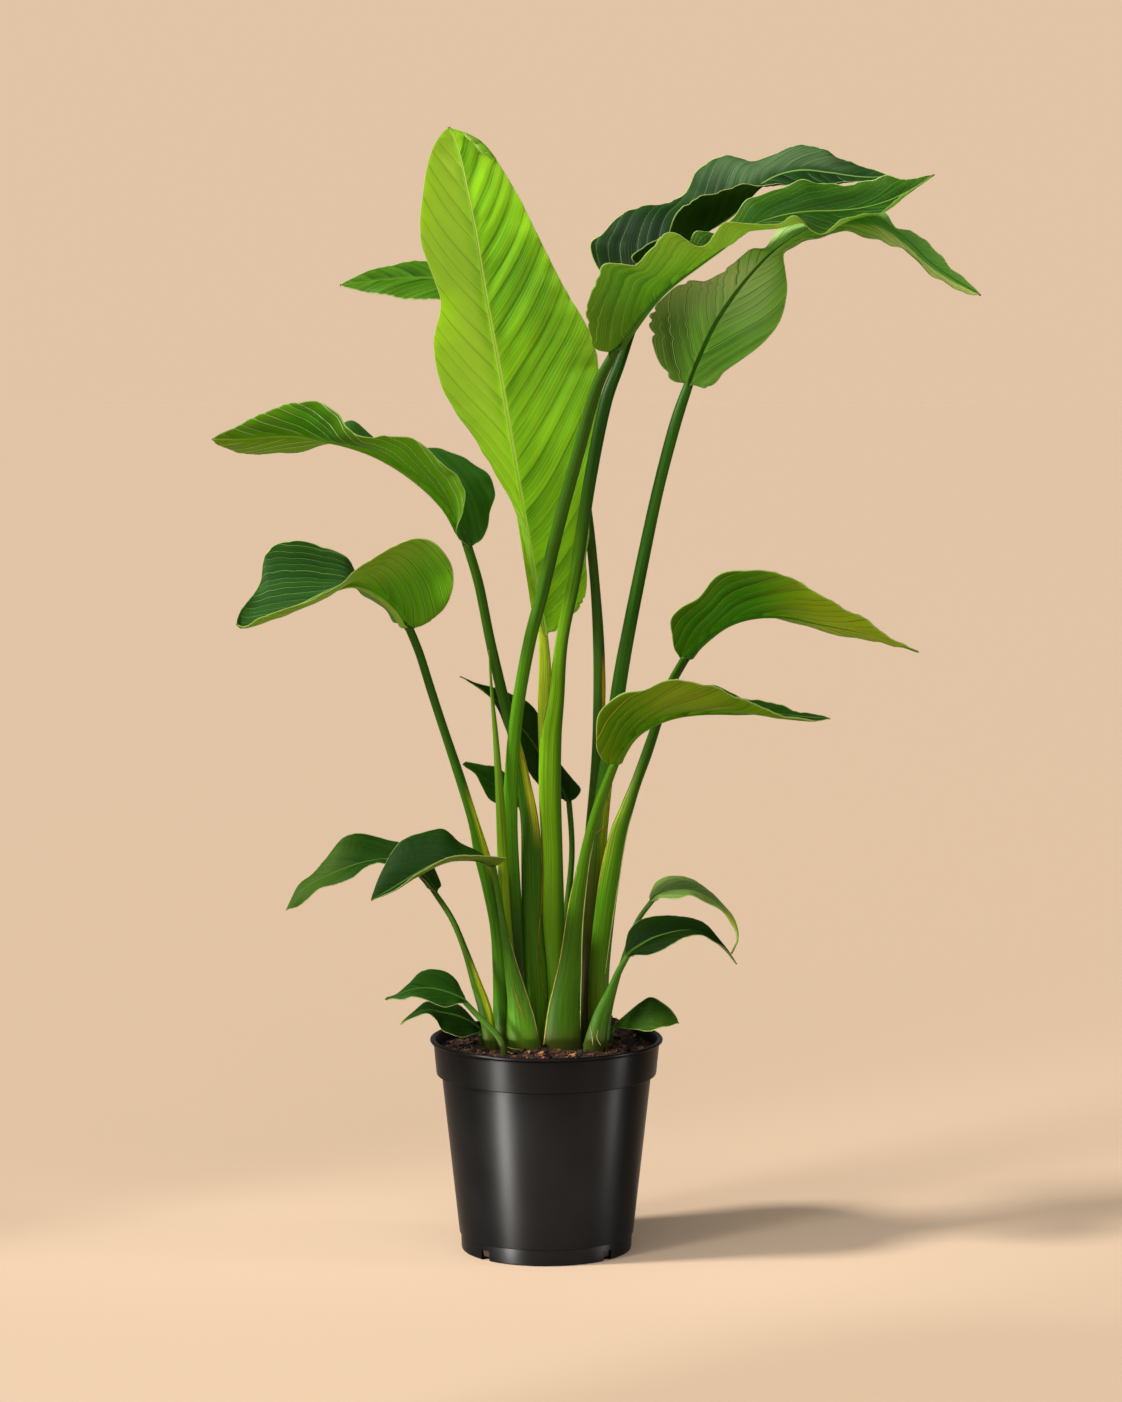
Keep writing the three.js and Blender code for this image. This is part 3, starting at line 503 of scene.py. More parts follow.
        # Painted light: the yellow glow of light through the thin margin and base.
        glow = g.add("Math", {"operation": "MAXIMUM"}, {0: show["edge_glow"], 1: show["base_glow"]})
        glow = g.add("Math", {"operation": "MULTIPLY", "use_clamp": True}, {0: glow, 1: mottle})
        thread = g.add("Math", TIMES, {0: show["thread"], 1: streak})
        shade = g.add("Math", TIMES, {0: show["shade"], 1: show["off_midrib"]})
        vein = g.add("Math", TIMES, {0: show["vein"], 1: fading})
        vein = g.add("Math", TIMES, {0: vein, 1: show["off_midrib"]})

        # The colour beside each vein is painted shade, or painted light where the vein is a dark crease.
        layers = [(glow, self.glow), (thread, self.thread), (shade, self.beside), (vein, self.vein),
                  (show["midrib"], self.midrib)]
        if self.seam:
            layers.append((show["seam"], self.seam))
        layers += [(show["margin"], self.margin), (show["tip"], self.tip)]
        for share, paint in layers:
            colour = g.add("MixRGB", None, {0: share, 1: colour, 2: linear(paint)})
        height = g.add("Math", {"operation": "SUBTRACT"}, {0: streak, 1: shade})
        bump = g.add("Bump", None, {"Strength": 0.3, "Distance": 0.4 * MM, "Height": height})
        skin = g.add("BsdfPrincipled", None, {"Base Color": colour, "Roughness": self.rough, "IOR": 1.45,
                                              "Normal": bump, "Specular IOR Level": self.gloss})
        lit = g.add("MixRGB", None, {0: 0.6, 1: colour, 2: linear(self.lit)})
        back = g.add("BsdfTranslucent", None, {"Color": lit, "Normal": bump})
        return g.finish(g.add("MixShader", None, {0: self.through, 1: skin, 2: back}))


@dataclass(frozen=True)
class StalkFinish:
    """Living stalk skin: smooth and waxy, with long fibres that show as faint streaks."""

    sheath: str
    middle: str
    petiole: str
    stain: str = "#3a2410"
    stain_mm: Span = (236.0, 190.0)    # heights where it starts and is full
    stain_uneven: float = 30.0         # how far it wanders with the fibres, in mm
    stain_share: float = 0.6
    rough: float = 0.45
    streaks: float = 0.35
    fibre_mm: float = 1.11             # a fibre's width: drawn wider than it is, so that it shows
    fibre_run_mm: float = 92.6         # and its length
    patches: tuple[Patch, ...] = ()

    def build(self, name: str) -> bpy.types.Material:
        """Makes the stalk's material, from the stained foot to the petiole.

        Args:
            name: the stalk that it is for.

        Returns:
            The material.
        """
        g = Graph(f"waxed_stalk_skin_{name}")
        height, along, side, ring_x, ring_y = (g.add("Attribute", {"attribute_name": key}, out="Fac")
                                               for key in STALK_VALUES)
        up = g.add("Math", TIMES, {0: height, 1: self.fibre_mm / self.fibre_run_mm})
        place = g.add("CombineXYZ", None, {0: ring_x, 1: ring_y, 2: up})
        fibres = g.add("TexNoise", None, {"Vector": place, "Scale": 1 / self.fibre_mm, "Detail": 3.0})
        colour = linear(self.sheath)
        for paint, start, full in ((self.middle, 0.1, 0.45), (self.petiole, 0.4, 0.75)):
            share = g.add("MapRange", SMOOTH, {"Value": along, "From Min": start, "From Max": full})
            colour = g.add("MixRGB", None, {0: share, 1: colour, 2: linear(paint)})
        for part in self.patches:
            colour = part.tint(g, colour, height, side, fibres)
        tone = g.add("MapRange", None, {"Value": fibres, **NOISE_SPAN, "To Min": 1 - self.streaks,
                                        "To Max": 1 + self.streaks})
        colour = g.add("MixRGB", {"blend_type": "MULTIPLY"}, {0: 1.0, 1: colour, 2: tone})
        level = g.add("Math", {"operation": "MULTIPLY_ADD"}, {0: fibres, 1: -self.stain_uneven, 2: height})
        foot = g.add("MapRange", SMOOTH, {"Value": level, "From Min": self.stain_mm[0],
                                          "From Max": self.stain_mm[1], "To Max": self.stain_share})
        colour = g.add("MixRGB", None, {0: foot, 1: colour, 2: linear(self.stain)})
        bump = g.add("Bump", None, {"Strength": 0.2, "Distance": 0.3 * MM, "Height": fibres})
        return g.finish(g.add("BsdfPrincipled", None, {
            "Base Color": colour, "Roughness": self.rough, "IOR": 1.45, "Normal": bump,
            "Specular IOR Level": 0.12, "Subsurface Weight": 0.08,
            "Subsurface Radius": (2 * MM, 3 * MM, 1 * MM)}))


@dataclass(frozen=True)
class DryEdgeFinish:
    """Dried edge of a leaf sheath: papery tissue, from pale straw to brown, with no wax left."""

    pale: str
    dark: str
    blotch_mm: float = 11.1

    def build(self, name: str) -> bpy.types.Material:
        """Makes the papery edge's material, blotched along its length.

        Args:
            name: the edge that it is for.

        Returns:
            The material.
        """
        g = Graph(f"dried_sheath_edge_{name}")
        place = g.add("TexCoord", None, None, out="Object")
        blotch = g.add("TexNoise", None, {"Vector": place, "Scale": 1 / (self.blotch_mm * MM), "Detail": 4.0})
        share = g.add("MapRange", None, {"Value": blotch, **NOISE_MIDDLE})
        colour = g.add("MixRGB", None, {0: share, 1: linear(self.pale), 2: linear(self.dark)})
        return g.finish(g.add("BsdfPrincipled", None, {"Base Color": colour, "Roughness": 0.7, "IOR": 1.4}))


@dataclass(frozen=True)
class PotFinish:
    """Moulded polypropylene, near black: a satin skin with faint flow lines up the wall."""

    colour: str = "#060606"
    worn: str = "#090909"
    rough: float = 0.4
    gloss: float = 0.14
    haze_mm: float = 71.4          # handling marks, from one to the next
    flow_mm: float = 16.7          # flow lines, from one to the next
    flow_run_mm: float = 333.0     # and their length up the wall

    def build(self) -> bpy.types.Material:
        """Makes the pot's material.

        The fine turned lines of its mould run round the wall, so each highlight is drawn out up
        and down it.

        Returns:
            The material.
        """
        g = Graph("moulded_black_polypropylene")
        place = g.add("TexCoord", None, None, out="Object")
        haze = g.add("TexNoise", None, {"Vector": place, "Scale": 1 / (self.haze_mm * MM), "Detail": 3.0})
        across, up = 1 / (self.flow_mm * MM), 1 / (self.flow_run_mm * MM)
        flow_place = g.add("VectorMath", TIMES, {0: place, 1: (across, across, up)})
        flow = g.add("TexNoise", None, {"Vector": flow_place, "Scale": 1.0, "Detail": 2.0})
        share = g.add("MapRange", None, {"Value": haze, "From Min": 0.4, "From Max": 0.75})
        colour = g.add("MixRGB", None, {0: share, 1: linear(self.colour), 2: linear(self.worn)})
        rough = g.add("MapRange", None, {"Value": haze, "To Min": self.rough - 0.05,
                                         "To Max": self.rough + 0.08})
        bump = g.add("Bump", None, {"Strength": 0.1, "Distance": 0.4 * MM, "Height": flow})
        round_it = g.add("Tangent", {"direction_type": "RADIAL", "axis": "Z"})
        facing = g.add("LayerWeight", None, {"Blend": 0.5}, out="Facing")
        level = g.add("MapRange", SMOOTH, {"Value": facing, "From Min": 0.14, "From Max": 0.38,
                                           "To Min": self.gloss, "To Max": 0.2 * self.gloss})
        return g.finish(g.add("BsdfPrincipled", None, {
            "Base Color": colour, "Roughness": rough, "IOR": 1.49, "Normal": bump, "Tangent": round_it,
            "Specular IOR Level": level, "Anisotropic": 0.85, "Anisotropic Rotation": 0.25}))


@dataclass(frozen=True)
class SoilFinish:
    """Damp potting mix: dark humus, with bark and coir that dried to brown and tan."""

    dark: str
    brown: str
    tan: str
    grain_mm: float = 2.38         # drawn coarser than the dust on it, so that it shows

    def build(self, name: str) -> bpy.types.Material:
        """Makes the mix's material; a bit's own tone picks its colour.

        Args:
            name: what it is for.

        Returns:
            The material.
        """
        g = Graph(f"potting_mix_{name}")
        place = g.add("TexCoord", None, None, out="Object")
        tone = g.add("Attribute", {"attribute_name": "tone"}, out="Fac")
        grain = g.add("TexNoise", None, {"Vector": place, "Scale": 1 / (self.grain_mm * MM), "Detail": 4.0})
        colour = linear(self.dark)
        for paint, start, full in ((self.brown, 0.1, 0.6), (self.tan, 0.7, 1.0)):
            share = g.add("MapRange", None, {"Value": tone, "From Min": start, "From Max": full})
            colour = g.add("MixRGB", None, {0: share, 1: colour, 2: linear(paint)})
        shade = g.add("MapRange", None, {"Value": grain, **NOISE_SPAN, "To Min": 0.5, "To Max": 1.5})
        colour = g.add("MixRGB", {"blend_type": "MULTIPLY"}, {0: 1.0, 1: colour, 2: shade})
        bump = g.add("Bump", None, {"Strength": 0.6, "Distance": 0.6 * MM, "Height": grain})
        return g.finish(g.add("BsdfPrincipled", None, {"Base Color": colour, "Roughness": 0.85, "IOR": 1.4,
                                                       "Normal": bump}))


@dataclass(frozen=True)
class FloorFinish:
    """Painted board: plain, pale and matte."""

    colour: str = "#af9881"

    def build(self) -> bpy.types.Material:
        """Makes the floor's material."""
        g = Graph("matte_painted_board")
        return g.finish(g.add("BsdfPrincipled", None, {"Base Color": linear(self.colour), "Roughness": 0.8}))


# ---- the leaves' curves --------------------------------------------------------------------

@dataclass(frozen=True)
class LeafPlan:
    """One leaf on the front view. Left and right are taken looking along it, upper face to the eye.

    belly is how far each half bulges off a flat strip toward the upper face and ripple the
    height in mm and the number of waves of the edges. rib is the depth of the midrib's keel at
    the base. foot is where the stalk stands in the soil, with its width and depth in mm, and
    each row of stem is (across, down, depth, width, thickness).
    """

    belly: Span
    ripple: Span
    rib: float
    foot: tuple[float, float, float, float]
    small: bool
    spine: Rows
    left: Rows
    right: Rows
    stem: Rows


LEAVES = {
    "tall_center": LeafPlan(
        belly=(-6, -4), ripple=(3, 5), rib=10, foot=(8, 13, 16, 12), small=False,
        spine=((546, 636, 14), (541, 606, 16), (535, 575, 18), (525, 520, 20), (512, 445, 22),
               (502, 385, 24), (493, 335, 26), (484, 285, 28), (476, 235, 30), (467, 190, 32),
               (459, 153, 33), (449, 127, 34)),
        left=((540, 634, 12), (536, 585, 4), (529, 545, -8), (514, 505, -22), (480, 447, -32),
              (446, 398, -28), (434, 345, -14), (440, 300, -2), (421, 240, 6), (424, 185, 16),
              (432, 150, 26), (446, 127, 33)),
        right=((552, 634, 14), (563, 624, 20), (582, 600, 24), (589, 545, 24), (598, 440, 22),
               (600, 375, 20), (590, 335, 20), (565, 288, 20), (539, 238, 22), (514, 188, 24),
               (484, 145, 28), (452, 127, 33)),
        stem=((552, 960, 14, 15, 11), (549, 860, 15, 14, 10), (546, 780, 15, 13, 10),
              (544, 710, 15, 13, 10), (545, 670, 15, 13, 10)),
    ),
    "high_back_left": LeafPlan(
        belly=(3, 3), ripple=(2, 4), rib=8, foot=(33, 19, 19, 13), small=False,
        spine=((553, 352, 62), (543, 330, 66), (530, 312, 70), (513, 298, 73), (492, 288, 76),
               (468, 282, 78), (442, 279, 80), (416, 278, 81), (391, 279, 82), (366, 281, 83),
               (340, 285, 84)),
        left=((551, 355, 60), (527, 342, 48), (507, 328, 44), (487, 320, 44), (466, 312, 46),
              (444, 303, 50), (422, 300, 54), (401, 298, 60), (382, 296, 68), (363, 292, 76),
              (340, 286, 83)),
        right=((555, 349, 64), (553, 318, 82), (543, 290, 94), (524, 272, 100), (500, 264, 102),
               (474, 261, 102), (446, 263, 100), (420, 262, 97), (395, 264, 92), (370, 270, 88),
               (340, 284, 84)),
        stem=((583, 950, 18, 18, 12), (588, 900, 18, 17, 12), (592, 842, 18, 16, 11),
              (597, 775, 18, 14, 10), (599, 724, 19, 13, 9), (599, 655, 24, 12, 9),
              (595, 585, 32, 10, 8), (587, 510, 44, 10, 8), (574, 430, 54, 10, 8)),
    ),
    "high_back_right": LeafPlan(
        belly=(2, -6), ripple=(3, 5), rib=9, foot=(12, -8, 18, 14), small=False,
        spine=((650, 282, 64), (655, 275, 67), (662, 266, 70), (671, 256, 72), (683, 244, 74),
               (697, 234, 76), (713, 225, 77), (730, 214, 78), (745, 201, 78), (760, 186, 78),
               (779, 175, 78), (803, 170, 77), (832, 173, 75), (862, 177, 71), (893, 177, 66)),
        left=((645, 283, 67), (618, 282, 92), (597, 268, 104), (593, 250, 110), (603, 232, 113),
              (620, 213, 115), (650, 208, 117), (677, 200, 118), (693, 174, 118), (722, 159, 118),
              (757, 159, 116), (793, 146, 112), (826, 153, 102), (860, 165, 88), (893, 176, 67)),
        right=((652, 279, 61), (642, 268, 52), (632, 259, 48), (642, 247, 47), (662, 237, 47),
               (672, 226, 48), (679, 210, 48), (686, 202, 50), (704, 199, 50), (722, 190, 50),
               (740, 185, 50), (764, 187, 50), (795, 184, 50), (840, 184, 54), (892, 178, 65)),
        stem=((555, 960, -6, 22, 13), (552.5, 900, -4, 24, 12), (552, 850, -2, 22, 11),
              (550, 790, -2, 23, 11), (551, 738, -2, 22, 10), (556, 700, -3, 17, 10),
              (562, 640, -4, 13, 9), (576, 570, -4, 13, 9), (590, 480, 0, 13, 9),
              (605, 405, 6, 13, 9), (619, 365, 16, 12, 9), (631, 330, 30, 11, 9),
              (640, 306, 46, 10, 8)),
    ),
    "high_front_right": LeafPlan(
        belly=(-5, -8), ripple=(3, 7), rib=9, foot=(-26, -10, 14, 13), small=False,
        spine=((609, 353, -30), (618, 341, -31), (630, 324, -33), (644, 306, -34), (658, 291, -35),
               (675, 277, -36), (695, 263, -36), (714, 250, -36), (733, 237, -36), (754, 224, -36),
               (782, 215, -36), (809, 211, -36), (838, 210, -34), (865, 207, -32), (892, 199, -30),
               (915, 187, -28), (934, 174, -26)),
        left=((615, 350, -27), (618, 330, -8), (614, 302, 14), (618, 281, 28), (634, 266, 36),
              (655, 256, 38), (678, 247, 38), (698, 236, 36), (712, 231, 32), (729, 226, 30),
              (752, 198, 28), (785, 185, 28), (822, 184, 26), (856, 182, 18), (886, 178, 4),
              (913, 178, -12), (933, 174, -25)),
        right=((603, 355, -33), (590, 341, -58), (587, 312, -84), (590, 290, -98), (603, 269, -104),
               (630, 262, -106), (654, 248, -106), (676, 233, -106), (702, 246, -104),
               (728, 226, -100), (770, 222, -96), (798, 221, -92), (820, 232, -88), (846, 218, -80),
               (874, 214, -68), (904, 195, -46), (934, 175, -27)),
        stem=((515, 970, -14, 20, 11), (512, 900, -15, 19.5, 11), (510, 830, -17, 16, 10),
              (512, 766, -20, 14, 10), (518, 705, -23, 13, 10), (530, 640, -24, 13, 10),
              (543, 590, -25, 13, 10), (560, 520, -27, 13, 10), (579, 450, -29, 13, 10),
              (596, 390, -30, 13, 10)),
    ),
    "right_drooping": LeafPlan(
        belly=(-5, -5), ripple=(3, 6), rib=9, foot=(43, 2, 22, 13), small=False,
        spine=((688, 386, 30), (693, 372, 30), (699, 358, 29), (708, 338, 28), (718, 319, 27),
               (732, 298, 26), (744, 282, 24), (757, 267, 22), (772, 252, 18), (790, 238, 12),
               (812, 226, 8), (836, 218, 6), (858, 214, 4), (878, 217, 2), (894, 228, 0),
               (911, 243, -4), (930, 262, -10), (957, 281, -16), (981, 295, -20)),
        left=((684, 386, 28), (667, 376, 14), (655, 352, 4), (649, 322, 2), (656, 304, 2),
              (684, 282, 4), (706, 281, 6), (731, 266, 14), (747, 249, 24), (768, 246, 38),
              (783, 230, 48), (812, 214, 52), (845, 207, 50), (880, 212, 44), (899, 224, 34),
              (917, 236, 20), (938, 253, 6), (960, 275, -8), (982, 294, -19)),
        right=((693, 386, 28), (712, 388, 12), (724, 372, 4), (744, 358, -2), (763, 343, -4),
               (780, 321, -4), (787, 293, -4), (785, 272, -6), (784, 254, -12), (797, 244, -22),
               (818, 235, -34), (842, 231, -44), (862, 238, -46), (884, 240, -44), (900, 247, -40),
               (914, 259, -36), (940, 278, -32), (962, 292, -26), (980, 296, -21)),
        stem=((590, 970, 2, 22, 12), (594, 900, 2, 21, 12), (598, 840, 2, 19, 11),
              (605, 780, 2, 16, 10), (612, 735, 2, 15, 10), (620, 680, 4, 15, 10),
              (628, 635, 8, 14, 10), (643, 560, 14, 13, 10), (658, 490, 20, 12, 10),
              (675, 425, 26, 12, 10)),
    ),
    "left_high": LeafPlan(
        belly=(-5, -6), ripple=(2, 5), rib=8, foot=(-8, -10, 20, 13), small=False,
        spine=((471, 548, -8), (465, 533, -10), (457, 519, -12), (444, 502, -14), (428, 486, -15),
               (410, 472, -16), (394, 462, -17), (378, 454, -18), (362, 448, -19), (344, 443, -20),
               (328, 440, -21), (310, 437, -22), (290, 435, -23), (270, 436, -24), (250, 438, -25),
               (231, 439, -26), (212, 439, -27)),
        left=((466, 545, -10), (455, 533, -22), (462, 516, -38), (465, 500, -50), (461, 484, -58),
              (450, 468, -62), (432, 453, -64), (412, 442, -66), (390, 436, -66), (366, 436, -64),
              (348, 430, -60), (338, 414, -54), (323, 402, -48), (296, 403, -44), (264, 413, -38),
              (236, 426, -32), (212, 437, -28)),
        right=((476, 548, -6), (487, 530, 12), (491, 508, 24), (493, 487, 34), (484, 469, 40),
               (464, 458, 44), (440, 452, 46), (412, 447, 46), (380, 441, 46), (352, 424, 44),
               (330, 434, 40), (306, 449, 32), (282, 454, 22), (258, 454, 10), (238, 452, -2),
               (222, 447, -16), (212, 441, -26)),
        stem=((536, 980, -10, 24, 12), (532, 920, -8, 21, 11), (532, 870, -6, 22, 10),
              (530, 825, -4, 19, 10), (524, 785, -2, 15, 9), (517, 750, 0, 12, 9),
              (508, 715, 0, 11, 9), (499, 680, -2, 11, 9), (489, 635, -4, 10, 8),
              (479, 585, -6, 10, 8)),
    ),
    "left_middle": LeafPlan(
        belly=(-6, -5), ripple=(2, 4), rib=8, foot=(-44, -3, 23, 16), small=False,
        spine=((413, 629, -6), (406, 620, -8), (398, 609, -10), (388, 599, -12), (376, 591, -14),
               (363, 585, -16), (349, 583, -18), (335, 587, -20), (320, 594, -22), (305, 602, -24),
               (290, 609, -26), (275, 616, -28), (261, 621, -30), (250, 625, -32), (241, 627, -34),
               (237, 624, -35)),
        left=((418, 628, -10), (432, 620, -26), (447, 605, -40), (454, 585, -50), (449, 561, -56),
              (432, 542, -60), (408, 537, -60), (384, 550, -58), (362, 569, -56), (342, 583, -56),
              (318, 595, -56), (294, 606, -54), (272, 615, -50), (256, 621, -44), (245, 625, -38),
              (238, 625, -36)),
        right=((408, 626, -2), (400, 622, 10), (393, 618, 22), (385, 609, 32), (374, 600, 40),
               (362, 590, 46), (356, 574, 52), (347, 558, 56), (327, 549, 56), (304, 539, 52),
               (282, 542, 44), (266, 557, 34), (260, 578, 20), (250, 597, 2), (240, 612, -16),
               (236, 622, -33)),
        stem=((503, 980, -4, 21, 14), (499, 930, -5, 18, 13), (491, 890, -6, 17, 12),
              (482, 855, -7, 16, 11), (473, 820, -8, 11, 9), (459, 775, -9, 10, 8),
              (444, 730, -9, 9, 8), (431, 690, -8, 9, 8), (420, 655, -7, 9, 8)),
    ),
    "right_middle": LeafPlan(
        belly=(-5, -6), ripple=(2, 5), rib=8, foot=(53, -15, 20, 13), small=False,
        spine=((681, 659, -8), (688, 651, -10), (697, 642, -12), (709, 632, -14), (723, 623, -16),
               (739, 617, -17), (757, 614, -18), (776, 614, -19), (795, 616, -20), (814, 621, -21),
               (833, 625, -22), (853, 629, -23), (873, 634, -24), (894, 642, -25), (919, 652, -26)),
        left=((685, 660, -4), (690, 648, 12), (694, 634, 28), (702, 620, 40), (714, 610, 46),
              (730, 604, 50), (748, 603, 50), (768, 608, 48), (790, 617, 42), (812, 626, 34),
              (834, 632, 26), (856, 637, 16), (876, 641, 4), (896, 645, -10), (919, 652, -25)),
        right=((677, 656, -10), (672, 640, -24), (671, 622, -38), (682, 608, -48), (697, 597, -56),
               (716, 579, -60), (742, 569, -62), (771, 571, -62), (798, 583, -58), (824, 596, -54),
               (846, 609, -48), (866, 620, -42), (884, 632, -36), (901, 643, -32), (920, 651, -27)),
        stem=((599, 975, -14, 21, 12), (604, 920, -13, 21, 12), (610, 875, -11, 21, 11),
              (618, 835, -7, 18, 10), (627, 808, -3, 14, 9), (636, 783, 2, 11, 8),
              (647, 753, 6, 11, 8), (658, 720, 6, 10, 8), (669, 688, 0, 10, 8)),
    ),
    "right_low_front": LeafPlan(
        belly=(-5, -7), ripple=(2, 4), rib=8, foot=(16, -34, 40, 15), small=False,
        spine=((610, 767, -60), (615, 757, -61), (621, 747, -62), (630, 736, -63), (643, 726, -64),
               (660, 718, -65), (679, 713, -66), (699, 711, -67), (719, 711, -68), (738, 712, -69),
               (757, 712, -70), (776, 713, -71), (795, 715, -72), (813, 717, -73), (830, 718, -74)),
        left=((617, 766, -56), (620, 752, -46), (624, 738, -36), (632, 724, -29), (644, 712, -25),
              (660, 702, -23), (679, 695, -23), (699, 690, -25), (716, 688, -28), (735, 693, -32),
              (756, 700, -37), (777, 706, -44), (797, 711, -52), (815, 713, -61), (830, 718, -73)),
        right=((606, 765, -62), (597, 749, -74), (596, 730, -88), (603, 710, -98), (622, 695, -104),
               (645, 687, -108), (669, 681, -110), (693, 684, -108), (714, 684, -104),
               (731, 694, -98), (750, 704, -92), (770, 711, -86), (790, 715, -82), (812, 721, -78),
               (830, 719, -75)),
        stem=((565, 1005, -34, 34, 14), (571, 960, -34, 24, 12), (577, 905, -36, 18, 11),
              (583, 868, -40, 13, 10), (590, 835, -46, 11, 9), (600, 802, -53, 11, 9)),
    ),
    "left_low_back": LeafPlan(
        belly=(2, 2), ripple=(1.5, 3), rib=5, foot=(-57, -30, 14, 10), small=True,
        spine=((437, 892, -5), (428, 880, -4), (416, 868, -3), (402, 861, -2), (386, 859, -1),
               (370, 861, 0), (354, 865, 0), (338, 871, 0), (322, 878, 0), (308, 886, 0),
               (296, 897, 0), (286, 910, 0)),
        left=((434, 891, -7), (420, 877, -16), (405, 872, -24), (393, 868, -28), (379, 864, -28),
              (364, 869, -26), (350, 878, -22), (334, 885, -18), (318, 891, -14), (304, 902, -8),
              (294, 908, -4), (286, 910, -1)),
        right=((441, 890, -2), (440, 878, 10), (430, 860, 20), (414, 848, 26), (396, 842, 30),
               (378, 836, 30), (360, 833, 28), (342, 840, 24), (328, 855, 20), (312, 873, 14),
               (298, 886, 8), (286, 909, 1)),
        stem=((485, 1010, -28, 14, 8), (476, 983, -25, 11, 7), (465, 950, -19, 7, 6),
              (452, 919, -12, 6, 6)),
    ),
    "left_low_front": LeafPlan(
        belly=(-4, 3), ripple=(1.5, 3), rib=5, foot=(-22, -34, 34, 15), small=True,
        spine=((495, 866, -52), (488, 861, -54), (477, 857, -56), (462, 857, -57), (447, 859, -58),
               (432, 865, -58), (417, 873, -58), (402, 882, -58), (387, 891, -58), (371, 900, -58)),
        left=((498, 865, -55), (506, 858, -66), (492, 855, -74), (472, 856, -80), (452, 857, -82),
              (438, 861, -82), (424, 870, -80), (408, 881, -76), (390, 892, -68), (371, 901, -59)),
        right=((491, 864, -50), (484, 856, -42), (474, 850, -36), (461, 844, -33), (444, 828, -32),
               (426, 832, -32), (404, 840, -34), (390, 853, -40), (380, 875, -48), (370, 899, -57)),
        stem=((520, 1008, -35, 25, 12), (513, 975, -37, 16, 10), (506, 940, -40, 9, 7),
              (500, 905, -45, 6, 6)),
    ),
    "left_rim_upper": LeafPlan(
        belly=(2, 2), ripple=(1, 3), rib=3.5, foot=(-43, -58, 7, 6), small=True,
        spine=((466, 1001, -48), (457, 996, -49), (447, 992, -50), (436, 989, -51), (425, 988, -52),
               (414, 989, -53), (404, 992, -54), (394, 996, -55), (385, 999, -56)),
        left=((465, 1004, -50), (457, 1004, -60), (446, 1007, -66), (435, 1005, -68), (424, 999, -68),
              (413, 997, -66), (403, 1000, -62), (393, 999, -57), (385, 1001, -57)),
        right=((466, 998, -46), (462, 990, -36), (455, 979, -28), (444, 971, -24), (432, 969, -24),
               (420, 973, -28), (409, 983, -36), (398, 994, -48), (385, 997, -55)),
        stem=((497, 1035, -56, 7, 5), (480, 1018, -52, 6, 5)),
    ),
    "left_rim_lower": LeafPlan(
        belly=(2, 2), ripple=(1, 3), rib=3.5, foot=(-66, -5, 6, 5), small=True,
        spine=((480, 1029, -6), (471, 1022, -8), (461, 1017, -10), (451, 1014, -12), (441, 1012, -14),
               (431, 1010, -16), (421, 1011, -18), (411, 1016, -20), (400, 1024, -22)),
        left=((479, 1032, -9), (472, 1035, -16), (462, 1037, -22), (451, 1035, -26), (442, 1030, -28),
              (436, 1020, -28), (427, 1014, -26), (415, 1017, -24), (400, 1024, -23)),
        right=((480, 1026, -3), (473, 1018, 2), (465, 1010, 6), (457, 1004, 8), (447, 1003, 8),
               (436, 1003, 6), (425, 1002, 0), (414, 1011, -12), (400, 1023, -21)),
        stem=((481, 1033, -5, 5, 5),),
    ),
    "right_low_upper": LeafPlan(
        belly=(3, 3), ripple=(1, 3), rib=3.5, foot=(60, -27, 8, 6), small=True,
        spine=((650, 901, -26), (657, 895, -27), (666, 891, -28), (676, 889, -29), (688, 890, -30),
               (700, 894, -31), (712, 900, -32), (722, 909, -33), (731, 919, -34), (736, 930, -35),
               (737, 941, -36), (732, 954, -37)),
        left=((648, 900, -24), (652, 889, -16), (657, 881, -8), (669, 876, -4), (683, 877, -2),
              (698, 883, -6), (711, 892, -14), (722, 905, -22), (731, 916, -28), (737, 929, -33),
              (738, 940, -35), (733, 954, -37)),
        right=((652, 902, -28), (661, 898, -36), (671, 899, -42), (681, 899, -46), (691, 896, -46),
               (702, 899, -44), (712, 906, -40), (722, 913, -38), (730, 922, -37), (736, 931, -36),
               (736, 941, -37), (732, 953, -38)),
        stem=((610, 1005, -26, 7, 5), (623, 960, -26, 5, 5), (636, 924, -26, 5, 5)),
    ),
    "right_low_lower": LeafPlan(
        belly=(3, 3), ripple=(1, 3), rib=4, foot=(48, -39, 21, 11), small=True,
        spine=((626, 956, -60), (633, 950, -61), (642, 944, -62), (653, 938, -63), (666, 934, -64),
               (680, 931, -65), (694, 931, -66), (706, 935, -67), (717, 942, -68), (727, 951, -69),
               (737, 964, -70)),
        left=((625, 953, -58), (626, 941, -50), (630, 929, -42), (640, 920, -38), (655, 917, -38),
              (672, 915, -38), (689, 917, -40), (704, 924, -47), (716, 936, -57), (727, 949, -65),
              (737, 963, -70)),
        right=((629, 958, -61), (637, 955, -68), (649, 955, -76), (661, 952, -82), (672, 944, -84),
               (683, 938, -84), (695, 936, -82), (706, 937, -78), (717, 943, -74), (726, 951, -71),
               (737, 964, -71)),
        stem=((601, 1015, -42, 15, 9), (611, 990, -49, 9, 7), (619, 971, -55, 7, 6)),
    ),
    "right_rim": LeafPlan(
        belly=(2, 2), ripple=(1, 3), rib=3.5, foot=(66, 5, 7, 6), small=True,
        spine=((615, 1025, 4), (622, 1018, 3), (631, 1010, 2), (641, 1002, 1), (650, 997, 0),
               (659, 1001, -2), (668, 1008, -4), (675, 1016, -6), (679, 1023, -8)),
        left=((614, 1023, 6), (626, 1018, 14), (637, 1010, 22), (648, 1004, 26), (657, 1003, 26),
